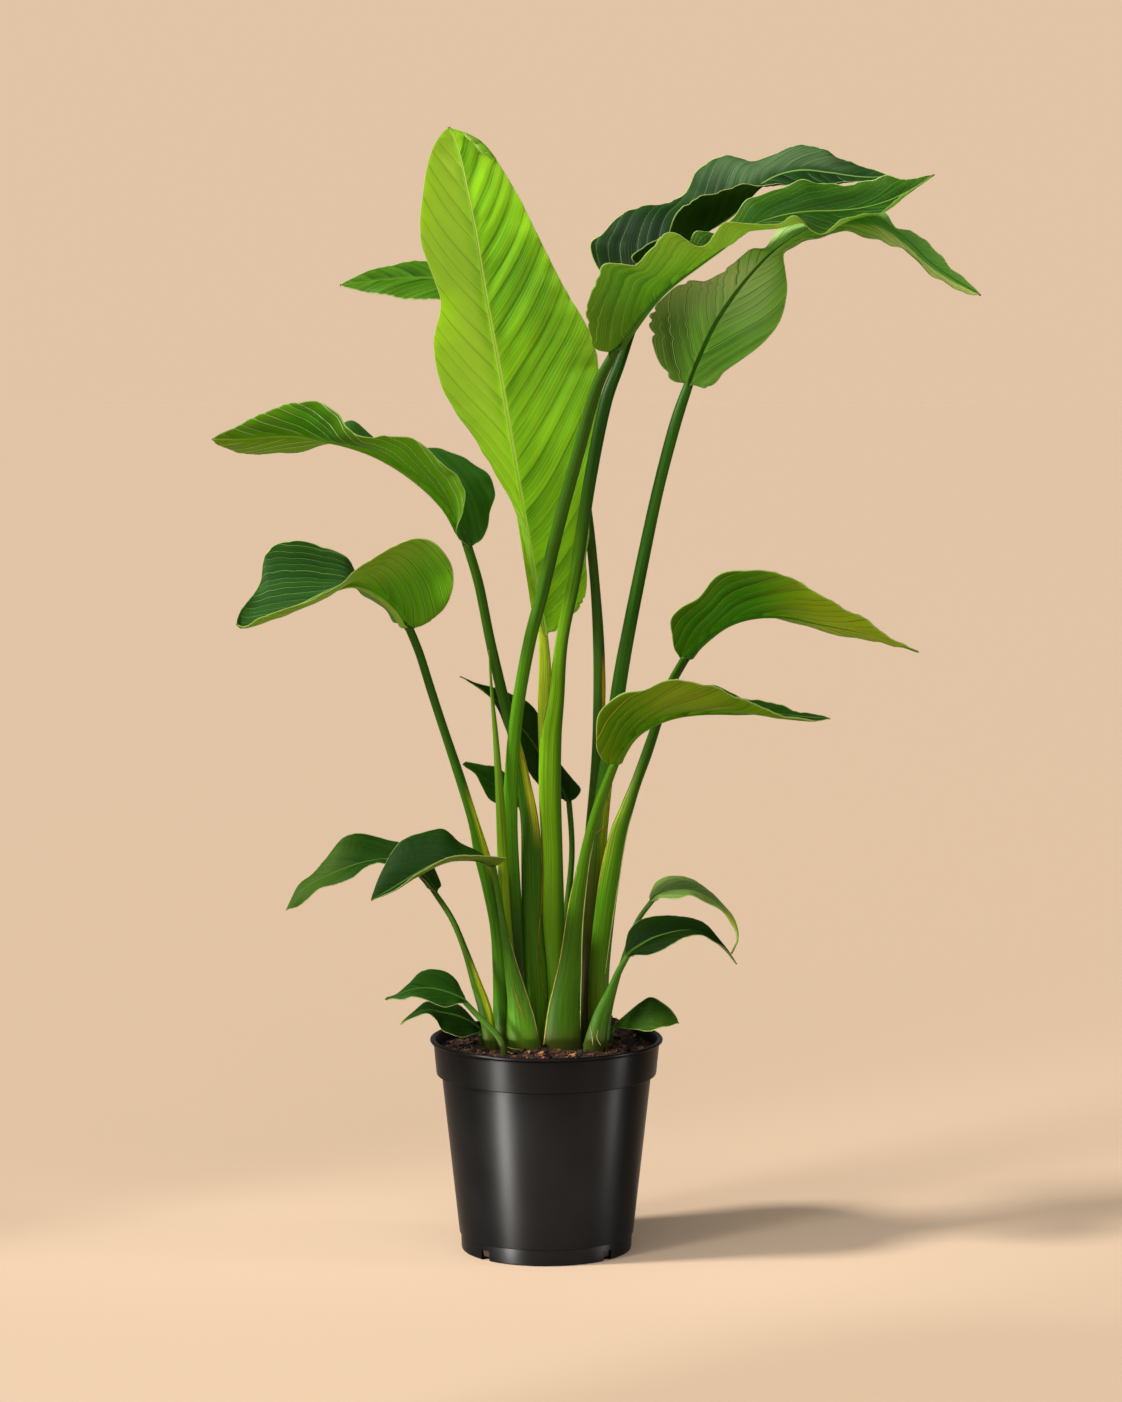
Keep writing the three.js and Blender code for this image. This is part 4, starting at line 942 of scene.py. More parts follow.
              (664, 1008, 22), (671, 1013, 14), (676, 1018, 4), (679, 1023, -7)),
        right=((616, 1027, 2), (624, 1028, -8), (633, 1030, -16), (643, 1031, -22), (653, 1030, -24),
               (662, 1028, -22), (670, 1026, -18), (676, 1024, -12), (679, 1024, -9)),
        stem=((612, 1029, 4, 6, 5),),
    ),
    "inner_back": LeafPlan(
        belly=(2, 2), ripple=(1.5, 3), rib=4, foot=(14, 38, 9, 8), small=True,
        spine=((569, 803, 44), (563, 791, 45), (555, 777, 46), (545, 762, 47), (535, 746, 47),
               (524, 731, 46), (512, 717, 45), (500, 704, 43), (487, 693, 40), (474, 684, 37),
               (460, 677, 34)),
        left=((566, 801, 44), (556, 796, 40), (540, 786, 40), (527, 770, 42), (516, 750, 44),
              (506, 730, 46), (499, 712, 46), (491, 699, 45), (482, 689, 42), (471, 682, 38),
              (460, 677, 35)),
        right=((573, 802, 44), (581, 790, 40), (573, 779, 44), (560, 763, 48), (549, 741, 50),
               (539, 715, 50), (527, 701, 48), (512, 694, 46), (496, 688, 43), (478, 683, 38),
               (460, 676, 34)),
        stem=((561, 960, 38, 8, 7), (568, 900, 40, 7, 6), (572, 850, 42, 6, 5)),
    ),
    "inner_left": LeafPlan(
        belly=(2, 2), ripple=(1, 3), rib=4, foot=(-18, 30, 8, 7), small=True,
        spine=((521, 806, 38), (514, 800, 38), (506, 794, 38), (498, 788, 37), (490, 782, 36),
               (482, 776, 35), (474, 770, 34), (463, 764, 33)),
        left=((520, 808, 38), (512, 806, 36), (503, 806, 34), (495, 803, 33), (488, 798, 32),
              (481, 785, 32), (475, 774, 33), (463, 766, 33)),
        right=((522, 803, 38), (518, 792, 36), (511, 780, 34), (503, 771, 33), (494, 766, 32),
               (485, 765, 32), (475, 763, 33), (464, 761, 33)),
        stem=((530, 960, 31, 7, 6), (531, 890, 34, 6, 5), (528, 835, 37, 6, 5)),
    ),
}

SPEAR_FOOT = (-37.0, -21.0, 9.0, 6.0)
SPEAR_STEM = ((512, 985, -23, 10, 6), (506, 920, -25, 11, 6), (503, 865, -27, 11, 6),
              (500, 800, -29, 9, 5), (496, 740, -27, 6, 4), (492, 695, -25, 3.5, 3),
              (489, 650, -24, 1.4, 1.4))


@dataclass(frozen=True)
class Frill:
    """A stretch of margin that grew in lobes with sharp notches between them."""

    side: int        # -1 for the left margin, 1 for the right one
    start: float     # stretch along the blade
    end: float
    depth: float     # of a notch, in mm
    length: float    # of a lobe, in mm


@dataclass(frozen=True)
class Roll:
    """A stretch of margin that rolls over the blade, or under it."""

    side: int        # -1 for the left margin, 1 for the right one
    start: float     # stretch along the blade, 0 at its base and 1 at its tip
    end: float
    degrees: float   # how far it turns, toward the upper face
    share: float     # share of the half blade's width that rolls
    flat: float = 1.0     # height of the roll for a round one's 1


@dataclass(frozen=True)
class Habit:
    """How a blade's halves are pleated and frilled; lengths in mm."""

    vein: float = 17.0      # from one main lateral vein to the next
    lean: float = 1.1       # how far forward the veins run for each mm outward
    lean_tip: float = 0.0   # and how much further at the tip
    curve: float = 0.3      # and how much more toward the margin
    puff: float = 0.7       # bulge of the tissue between two veins
    step: float = 0.8       # uneven height of the veins
    wave: float = 1.3       # small waves of the margin
    stray: float = 0.32     # how far the veins stray from their places, as share of the spacing
    stagger: float = 0.43   # and how far the left half's lie from the right half's
    frills: tuple[Frill, ...] = ()
    rolls: tuple[Roll, ...] = ()


@dataclass
class BladeCurves:
    """A blade's midrib and edges as curves, with the directions along and over it."""

    plan: LeafPlan

    def __post_init__(self) -> None:
        """Puts the curves' points in space."""
        self.spine, self.left, self.right = (
            VIEW.place(rows) for rows in (self.plan.spine, self.plan.left, self.plan.right))

    def directions(self, t: np.ndarray) -> tuple[np.ndarray, np.ndarray]:
        """Gives the blade's directions along its length.

        Args:
            t: where to read them, from 0 at the base to 1 at the tip.

        Returns:
            The way along the midrib and the way up from the upper face, one a row.
        """
        ahead = smooth_curve(self.spine, np.minimum(t + 0.01, 1))
        along = unit(ahead - smooth_curve(self.spine, np.maximum(t - 0.01, 0)))
        steady = np.clip(t, 0.05, 0.93)
        across = smooth_curve(self.right, steady) - smooth_curve(self.left, steady)
        return along, unit(np.cross(across, along))

    def keel(self, t: np.ndarray) -> tuple[np.ndarray, np.ndarray]:
        """Depth under the upper face and half width of the midrib's keel at each t, in mm."""
        half_width = (SMALL_KEEL_MM if self.plan.small else LARGE_KEEL_MM) * (1 - t) ** 0.8 + KEEL_TIP_MM
        return BLADE_MM + self.plan.rib * (1 - t) ** 1.6, half_width


@dataclass
class Blade:
    """A paddle-shaped blade: a grooved midrib on a round keel, and pleated halves."""

    name: str
    plan: LeafPlan
    finishes: tuple[LeafFinish, LeafFinish]
    slot: Slot
    habit: Habit
    step_mm: float
    columns: int           # to each side of the midrib
    seed: int
    rim_share: float = 0.012     # share of the half blade in its last column, at the thin margin
    phases: Span = (0.6, 2.4)    # where the left and the right edge's waves start, in radians
    nibble_mm: float = 0.25      # small unevenness of the whole margin
    groove_mm: Span = (2.0, 0.5)     # half width of the midrib's groove at the base and at the tip
    small_groove: float = 0.6        # and a small blade's for a large one's

    def __post_init__(self) -> None:
        """Reads the curves and lays out the blade's grid."""
        self.rng = np.random.default_rng(self.seed)
        self.curves = BladeCurves(self.plan)
        rough = smooth_curve(self.curves.spine, np.linspace(0, 1, 60))
        length = np.linalg.norm(np.diff(rough, axis=0), axis=1).sum() / MM
        self.t = np.linspace(0, 1, max(24, round(length / self.step_mm)) + 1)
        share = np.linspace(0, 1, self.columns + 1) ** 1.35
        share = np.append(share[:-1], [1 - self.rim_share, 1.0])
        self.s = np.concatenate([-share[:0:-1], share])

    def layout(self) -> dict[str, np.ndarray]:
        """Works out for each grid point how it lies on the blade.

        Returns:
            Named grids: `arc` from the base and `from_midrib` and `from_margin` in mm,
            `veins`, the count of lateral veins, and `along` and `half`, from -1 to 1.
        """
        middle = smooth_curve(self.curves.spine, self.t)
        arc = np.append(0, np.cumsum(np.linalg.norm(np.diff(middle, axis=0), axis=1))) / MM
        widths = [np.linalg.norm(smooth_curve(line, self.t) - middle, axis=1) / MM
                  for line in (self.curves.left, self.curves.right)]
        width = np.where(self.s[None, :] < 0, widths[0][:, None], widths[1][:, None])
        out = np.abs(self.s)[None, :]
        vein = self.habit.vein
        lean = self.habit.lean + self.habit.lean_tip * self.t[:, None] + self.habit.curve * out
        start = arc[:, None] - width * out * lean
        uneven = self.habit.stray * vein * waves(self.rng, start, (2.3 * vein, 3.7 * vein, 6.1 * vein))
        uneven = uneven + np.where(self.s < 0, self.habit.stagger, 0.0) * vein
        return {"arc": np.broadcast_to(arc[:, None], width.shape), "from_midrib": width * out,
                "from_margin": width * (1 - out), "veins": (start + uneven) / vein,
                "along": np.broadcast_to(self.t[:, None], width.shape),
                "half": np.broadcast_to(self.s[None, :], width.shape)}

    def upper_face(self, lay: dict[str, np.ndarray]) -> np.ndarray:
        """Shapes the upper face.

        Args:
            lay: the blade's layout.

        Returns:
            A grid of points.
        """
        t = self.t[:, None, None]
        middle = smooth_curve(self.curves.spine, self.t)[:, None, :]
        along, up = (way[:, None, :] for way in self.curves.directions(self.t))
        edges = []
        for line, side in ((self.curves.left, -1), (self.curves.right, 1)):
            edge = smooth_curve(line, self.t)[:, None, :]
            # The first rows stand square to the midrib, and the blade narrows to both its ends.
            slip = ((middle - edge) * along).sum(-1, keepdims=True)
            edge = edge + along * slip * np.clip(1 - t / 0.02, 0, 1)
            neck = 0.25 + 0.75 * smoothstep(0, 0.03, t)
            neck = neck * np.sqrt(np.clip((1.0006 - t) / 0.018, 0, 1))
            notch = self.notches(lay["arc"][:, :1], side)[..., None] * MM * smoothstep(0, 0.08, t)
            edges.append(middle + (edge - middle) * neck + unit(middle - edge) * notch)
        left_side = self.s[None, :, None] < 0
        edge = np.where(left_side, *edges)
        out = np.abs(self.s)[None, :, None]
        fade = np.sin(math.pi * np.minimum(1, t * 1.05)).clip(0) ** 0.5
        belly = np.where(left_side, *self.plan.belly)
        height, count = self.plan.ripple
        wave = np.sin(2 * math.pi * count * t + np.where(left_side, *self.phases))
        points = middle + (edge - middle) * out
        lift = fade * (belly * 4 * out * (1 - out) + height * out ** 2 * wave)
        for roll in self.habit.rolls:
            points = self.rolled(points, middle, edge, up, roll)
        return points + up * (lift + self.relief(lay)[..., None]) * MM

    def notches(self, arc: np.ndarray, side: int) -> np.ndarray:
        """Works out how far the margin is cut in.

        Args:
            arc: places along the blade in mm.
            side: -1 for the left margin, 1 for the right one.

        Returns:
            The depth of the cut in mm at each place.
        """
        t = self.t[:, None]
        depth = self.nibble_mm * np.abs(waves(self.rng, arc, (13, 29, 47)))
        for frill in self.habit.frills:
            length = frill.length
            uneven = arc + 0.5 * length * waves(self.rng, arc, (2.3 * length, 3.9 * length))
            lobe = 1 - np.abs(np.sin(math.pi * uneven / length))
            rise = smoothstep(frill.start, frill.start + 0.05, t)
            fall = smoothstep(frill.end, frill.end - 0.08, t)
            depth = depth + frill.depth * lobe ** 1.6 * (rise * fall) * (frill.side == side)
        return depth

    def relief(self, lay: dict[str, np.ndarray]) -> np.ndarray:
        """Works out the small forms of the upper face: pleats, margin waves and the midrib's groove.

        Args:
            lay: the blade's layout.

        Returns:
            A height in mm for each grid point.
        """
        off, along, veins = lay["from_midrib"], lay["along"], lay["veins"]
        ends = smoothstep(0, 0.06, along) * smoothstep(1, 0.93, along)
        first = math.floor(veins.min())
        heights = self.rng.uniform(-1, 1, (2, math.ceil(veins.max()) - first + 2))
        index = np.floor(veins).astype(int) - first
        share = veins - np.floor(veins)
        side = np.broadcast_to((self.s > 0).astype(int)[None, :], veins.shape)
        steps = heights[side, index] * (1 - share) + heights[side, index + 1] * share
        # Each pleat rises steeply at its vein and falls off slowly to the next.
        saw = np.where(share < 0.2, 1.5 * share, np.where(share > 0.8, 1.5 * (share - 1), 0.5 - share))
        pleats = self.habit.step * steps + self.habit.puff * (4 * share * (1 - share) + 2 * saw)
        # The pleats run out toward the midrib and where the blade is narrow.
        half_width = off + lay["from_margin"]
        pleats = pleats * smoothstep(1, 14, off) * smoothstep(2, 26, half_width)
        out = np.abs(lay["half"]) ** 3
        curl = np.where(lay["half"] < 0, waves(self.rng, lay["arc"], (24, 37, 61)),
                        waves(self.rng, lay["arc"], (27, 41, 57)))
        wide, narrow = self.groove_mm
        groove = (narrow + (wide - narrow) * (1 - along)) * (self.small_groove if self.plan.small else 1.0)
        dip = -0.5 * groove * np.exp(-(off / (0.55 * groove)) ** 2)
        shoulder = 0.22 * groove * np.exp(-((off - 1.5 * groove) / (0.6 * groove)) ** 2)
        return ends * (pleats + self.habit.wave * out * curl) + dip + shoulder

    def rolled(self, points: np.ndarray, middle: np.ndarray, edge: np.ndarray, up: np.ndarray,
               roll: Roll) -> np.ndarray:
        """Rolls a stretch of margin, and keeps the outline where it is.

        Args:
            points: the face's grid of points.
            middle: the midrib.
            edge: the edge that each point lies toward.
            up: the way up from the face.
            roll: which stretch, and how far.

        Returns:
            The new grid.
        """
        out = np.abs(self.s)[None, :, None]
        inner = 1 - roll.share
        t = self.t[:, None, None]
        span = 0.35 * (roll.end - roll.start)
        window = smoothstep(roll.start, roll.start + span, t) * smoothstep(roll.end, roll.end - span, t)
        turn = math.radians(roll.degrees) * window
        turn = np.where(np.abs(turn) < 1e-4, 1e-4, turn)
        part = np.clip((out - inner) / roll.share, 0, 1)
        reach = np.linalg.norm(edge - middle, axis=-1, keepdims=True) * roll.share
        radius = reach / np.sin(np.minimum(turn, math.pi / 2))
        start = middle + (edge - middle) * inner
        moved = start + unit(edge - middle) * radius * np.sin(turn * part) \
            + up * radius * roll.flat * (1 - np.cos(turn * part))
        mine = (np.sign(self.s)[None, :, None] == roll.side) & (out > inner)
        return np.where(mine, moved, points)

    def thickness(self, lay: dict[str, np.ndarray]) -> np.ndarray:
        """Works out the depth of the under face below the upper one, with the midrib's keel.

        Args:
            lay: the blade's layout.

        Returns:
            A depth in mm for each grid point.
        """
        along, off = lay["along"], lay["from_midrib"]
        depth, half_width = self.curves.keel(along)
        round_keel = np.sqrt(np.clip(1 - (off / half_width) ** 2, 0, 1)) * smoothstep(0, 0.06, along)
        thin = BLADE_MM * (0.45 + 0.55 * smoothstep(0, 1.5, lay["from_margin"]))
        return thin + (depth - 0.5) * round_keel

    def build(self) -> Piece:
        """Makes the blade as one closed piece, dressed and handed to the frame.

        Returns:
            The piece.
        """
        lay = self.layout()
        upper = self.upper_face(lay)
        rise = np.gradient(upper, axis=0)
        span = np.gradient(upper, axis=1)
        normal = unit(np.cross(span, rise))
        along, up = self.curves.directions(self.t)
        normal = np.where((normal * up[:, None, :]).sum(-1, keepdims=True) < -0.99, up[:, None, :], normal)
        lower = upper - normal * (self.thickness(lay) * MM)[..., None]
        rows, columns = upper.shape[:2]
        values = {key: lay[key].ravel() for key in BLADE_VALUES}
        parts = MeshParts()
        parts.add(upper.reshape(-1, 3), grid_faces(rows, columns), 0, **values)
        below = parts.add(lower.reshape(-1, 3), grid_faces(rows, columns, flip=True), 1, **values)
        i, j = np.arange(rows - 1), np.arange(columns - 1)
        left, right = i * columns, i * columns + columns - 1
        last = (rows - 1) * columns
        parts.link(np.column_stack([left, left + columns, below + left + columns, below + left]), 1)
        parts.link(np.column_stack([right + columns, right, below + right, below + right + columns]), 1)
        parts.link(np.column_stack([j, below + j, below + j + 1, j + 1]), 1)
        parts.link(np.column_stack([last + j + 1, below + last + j + 1, below + last + j, last + j]), 1)
        materials = [finish.build(f"{self.name}_{face}")
                     for finish, face in zip(self.finishes, ("upper", "under"))]
        return settle(parts.build(f"leaf_blade_{self.name}", materials), self.slot, f"blade_{self.name}")


@dataclass
class Stalk:
    """A leaf's stalk: a clasping sheath below that narrows to a round leaf stem."""

    name: str
    rows: Rows
    foot: tuple[float, float, float, float]
    finish: StalkFinish
    node: str
    piece: str
    slot: Slot = Slot.STEM
    curves: BladeCurves | None = None
    sides: int = 28
    step_mm: float = 4.0
    seed: int = 1
    keel_t: tuple[float, ...] = (0.0, 0.025, 0.05, 0.075, 0.1)     # it runs on inside the keel to here,
    taper: tuple[float, ...] = (1.0, 0.95, 0.85, 0.65, 0.35)       # thinner at each of these places,
    sink: float = 0.47             # this far under the upper face, as share of the keel's depth,
    fill: Span = (0.9, 0.84)       # and it fills this share of the keel's width and depth
    rib_share: float = 0.012       # height of the faint ribs round it, as share of its width

    def __post_init__(self) -> None:
        """Works out the stalk's centres, widths and depths in metres."""
        foot_x, foot_y, foot_width, foot_depth = self.foot
        centres = [np.array([foot_x, foot_y, HOLE_TOP_MM]) * MM, *VIEW.place([row[:3] for row in self.rows])]
        widths = [foot_width, *(row[3] for row in self.rows)]
        depths = [foot_depth, *(row[4] for row in self.rows)]
        self.end_across = None
        if self.curves:
            t, taper = np.array(self.keel_t), np.array(self.taper)
            _, up = self.curves.directions(t)
            deep, half_width = self.curves.keel(t)
            centres += list(smooth_curve(self.curves.spine, t) - up * (self.sink * deep * MM)[:, None])
            widths += list(2 * half_width * taper * self.fill[0])
            depths += list(deep * taper * self.fill[1])
            span = unit(self.curves.right[0] - self.curves.left[0])
            self.end_across = span * (1 if span[0] >= 0 else -1)
        self.centres, self.widths, self.depths = np.array(centres), np.array(widths), np.array(depths)

    def sections(self) -> tuple[np.ndarray, np.ndarray, np.ndarray, np.ndarray, np.ndarray]:
        """Reads the stalk at even steps.

        Returns:
            Centres, the ways across and through, and half widths and half depths in metres.
        """
        rough = smooth_curve(self.centres, np.linspace(0, 1, 80))
        length = np.linalg.norm(np.diff(rough, axis=0), axis=1).sum() / MM
        t = np.linspace(0, 1, max(8, round(length / self.step_mm)) + 1)
        centre = smooth_curve(self.centres, t)
        along = unit(smooth_curve(self.centres, np.minimum(t + 0.01, 1))
                     - smooth_curve(self.centres, np.maximum(t - 0.01, 0)))
        along[0] = (0, 0, 1)
        across = np.tile([1.0, 0.0, 0.0], (len(t), 1))
        if self.end_across is not None:
            rows = len(self.rows)
            turn = smoothstep(0.7 * rows, rows + 1, t * (len(self.centres) - 1))[:, None]
            across = across * (1 - turn) + self.end_across * turn
        across = unit(across - (across * along).sum(1, keepdims=True) * along)
        wide, deep = (smooth_curve(sizes[:, None], t)[:, 0] for sizes in (self.widths, self.depths))
        below = np.array([self.centres[0] + [0, 0, (HOLE_FLOOR_MM - HOLE_TOP_MM) * MM]])
        centre, across = np.vstack([below, centre]), np.vstack([across[:1], across])
        along = np.vstack([along[:1], along])
        wide, deep = np.append(wide[0], wide), np.append(deep[0], deep)
        through = np.cross(along, across)
        return centre, across, through, wide / 2 * MM, deep / 2 * MM

    def build(self) -> Piece:
        """Makes the stalk as one closed piece, dressed and handed to the frame.

        Returns:
            The piece.
        """
        rng = np.random.default_rng(self.seed)
        centre, across, through, wide, deep = self.sections()
        turn = 2 * math.pi * (np.arange(self.sides) + 0.5) / self.sides
        ribs = 1 + self.rib_share * waves(rng, turn, (2 * math.pi / 5, 2 * math.pi / 9))
        cos, sin = np.cos(turn) * ribs, np.sin(turn) * ribs
        points = (centre[:, None, :] + across[:, None, :] * (wide[:, None] * cos)[..., None]
                  + through[:, None, :] * (deep[:, None] * sin)[..., None])
        arc = np.append(0, np.cumsum(np.linalg.norm(np.diff(centre, axis=0), axis=1))) / MM
        grids = (points[..., 2] / MM, (arc / arc[-1])[:, None], np.cos(turn)[None, :],
                 wide[:, None] * cos / MM, deep[:, None] * sin / MM)
        values = {key: np.broadcast_to(grid, points.shape[:2]).ravel()
                  for key, grid in zip(STALK_VALUES, grids)}
        parts = MeshParts()
        parts.add_tube(points, **values)
        piece = parts.build(self.piece, [self.finish.build(self.piece)])
        return settle(piece, self.slot, self.node)

    def front(self, rows: np.ndarray) -> np.ndarray:
        """Lays places of the front view on the stalk's front.

        Args:
            rows: one (across, down) a row.

        Returns:
            One point a row, in metres.
        """
        centre, _, _, wide, deep = self.sections()
        order = np.argsort(centre[:, 2])
        centre, wide, deep = centre[order], wide[order], deep[order]
        depth = np.full(len(rows), centre[:, 1].mean())
        for _ in range(3):
            points = VIEW.place(np.column_stack([rows, depth / MM]))
            middle, half_wide, y, half_deep = (np.interp(points[:, 2], centre[:, 2], value)
                                               for value in (centre[:, 0], wide, centre[:, 1], deep))
            side = np.clip((points[:, 0] - middle) / half_wide, -0.93, 0.93)
            depth = y - half_deep * np.sqrt(1 - side ** 2)
        return np.column_stack([middle + side * half_wide, depth, points[:, 2]])


class EdgeTone(Enum):
    """The colours that a sheath's dried edge has."""

    BROWN = DryEdgeFinish("#8a5a1e", "#4e2f12")
    ORANGE = DryEdgeFinish("#b07a2a", "#7a4a18")
    STRAW = DryEdgeFinish("#b9a04e", "#8a7430")
    PALE = DryEdgeFinish("#b8c27a", "#93a354")


@dataclass
class SheathEdge:
    """The thin dried edge of a sheath, laid on the front of its stalk."""

    name: str
    stalk: str
    tone: EdgeTone
    rows: Rows                 # (across, down) on the front view
    width_mm: float = 1.3
    thick_mm: float = 0.7
    sides: int = 8

    def build(self, stalk: Stalk) -> Piece:
        """Makes the edge as a closed ribbon.

        Args:
            stalk: the stalk that it lies on.

        Returns:
            The piece.
        """
        t = np.linspace(0, 1, 8 * len(self.rows))
        rows = smooth_curve(np.array(self.rows, float), t)
        path = stalk.front(rows)
        run = unit(np.gradient(path, axis=0))
        side = unit(np.cross(run, np.array([[0.0, -1.0, 0.0]])))
        ahead = np.cross(side, run)
        taper = np.sqrt(np.clip(np.sin(math.pi * np.clip(t, 0.02, 0.98)), 0.05, 1))
        width = self.width_mm * MM / 2 * taper
        turn = ring_angles(self.sides)
        parts = MeshParts()
        parts.add_tube(path[:, None, :] + side[:, None, :] * (width[:, None] * np.cos(turn))[..., None]
                       + ahead[:, None, :] * (self.thick_mm * MM / 2 * np.sin(turn))[None, :, None])
        return settle(parts.build(f"sheath_edge_{self.name}", [self.tone.value.build(self.name)]), Slot.STEM)


@dataclass
class Pot:
    """Round nursery pot: a rolled lip, a collar under it, a tapered wall and drain notches."""

    finish: PotFinish
    height: float = 220.0
    rim_radius: float = 120.0
    lip_radius: float = 1.9
    band_radius: float = 116.5
    band_bottom_radius: float = 113.5
    band_height: float = 37.0
    wall_top_radius: float = 108.0
    wall_foot_radius: float = 90.0
    ring_height: float = 17.0
    foot_radius: float = 88.0
    wall: float = 2.4
    base: float = 3.2
    notch_width: float = 11.0
    notch_height: float = 10.5
    notch_reach: float = 14.0
    notch_azimuths: tuple[float, ...] = (45, 135, 225, 315)
    band_step: float = 2.5         # how far the inside widens under the collar
    sharp_deg: float = 32.0        # edges sharper than this stay crisp
    segments: int = 180

    def inside(self, z: np.ndarray) -> np.ndarray:
        """Reads the inside of the wall.

        Args:
            z: heights in mm.

        Returns:
            The inside's radius in mm at each height.
        """
        under = self.height - self.band_height
        top = self.wall_top_radius - self.wall
        low = np.interp(z, [self.ring_height, under], [self.wall_foot_radius - self.wall, top])
        high = np.interp(z, [under, self.height], [top + self.band_step, self.band_radius - self.wall])
        return np.where(np.asarray(z) > under, high, low)

    def outline(self) -> list[Span]:
        """Draws half of the pot's section.

        Returns:
            (radius, height) in mm, from the axis along the base, up, round the lip and down inside.
        """
        under, top = self.height - self.band_height, self.height
        lip = self.lip_radius
        foot, ring, band = self.foot_radius, self.ring_height, self.band_bottom_radius
        points = [(0, 0), (foot - 2, 0), (foot - 0.6, 0.5), (foot, 2), (foot + 0.6, ring - 0.4),
                  (foot + 0.9, ring), (self.wall_foot_radius - 0.3, ring + 0.3),
                  (self.wall_foot_radius, ring + 0.8), (self.wall_top_radius, under - 1.5),
                  (band - 1.5, under - 0.5), (band - 0.4, under + 0.2), (band, under + 1.5),
                  (self.band_radius, top - 2 * lip - 1.2)]
        turns = np.radians(np.arange(-60, 121, 15))
        points += [(self.rim_radius - lip + lip * math.cos(a), top - lip + lip * math.sin(a)) for a in turns]
        points += [(self.band_radius - self.wall + 0.6, top - 1)]
        points += [(float(self.inside(z)), z) for z in (top - 5, under + 1, under - 3, ring)]
        return points + [(foot - self.wall, self.base), (0, self.base)]

    def build(self) -> Piece:
        """Makes the pot, cuts its notches and hands it to the frame.

        Returns:
            The piece.
        """
        turn = ring_angles(self.segments)
        ring = np.array(self.outline())[1:-1]
        parts = MeshParts()
        parts.add_tube(np.stack([ring[:, :1] * np.cos(turn), ring[:, :1] * np.sin(turn),
                                 np.repeat(ring[:, 1:], self.segments, axis=1)], axis=-1) * MM)
        body = parts.build("pot_body", [self.finish.build()])
        cutter = self.notches()
        cut = body.modifiers.new("notches", "BOOLEAN")
        cut.operation, cut.object, cut.solver = "DIFFERENCE", cutter, "EXACT"
        mesh = bpy.data.meshes.new_from_object(body.evaluated_get(bpy.context.evaluated_depsgraph_get()))
        pot = bpy.data.objects.new("nursery_pot", mesh)
        bpy.context.scene.collection.objects.link(pot)
        for spare in (body, cutter):
            bpy.data.objects.remove(spare)
        mesh.shade_smooth()
        mesh.set_sharp_from_angle(angle=math.radians(self.sharp_deg))
        return settle(pot, Slot.POT, "pot")

    def notches(self) -> Piece:
        """Makes the blocks that are cut out of the foot.

        Returns:
            The blocks as one piece.
        """
        parts = MeshParts()
        corners = BOX_CORNERS * (self.notch_reach, self.notch_width, 2 * self.notch_height)
        for azimuth in self.notch_azimuths:
            a = math.radians(azimuth)
            turn = np.array([[math.cos(a), -math.sin(a), 0], [math.sin(a), math.cos(a), 0], [0, 0, 1]])
            parts.add(((corners + [self.foot_radius - 1, 0, 0]) @ turn.T) * MM, BOX_FACES)
        return parts.build("notch_blocks", [], smooth=False)


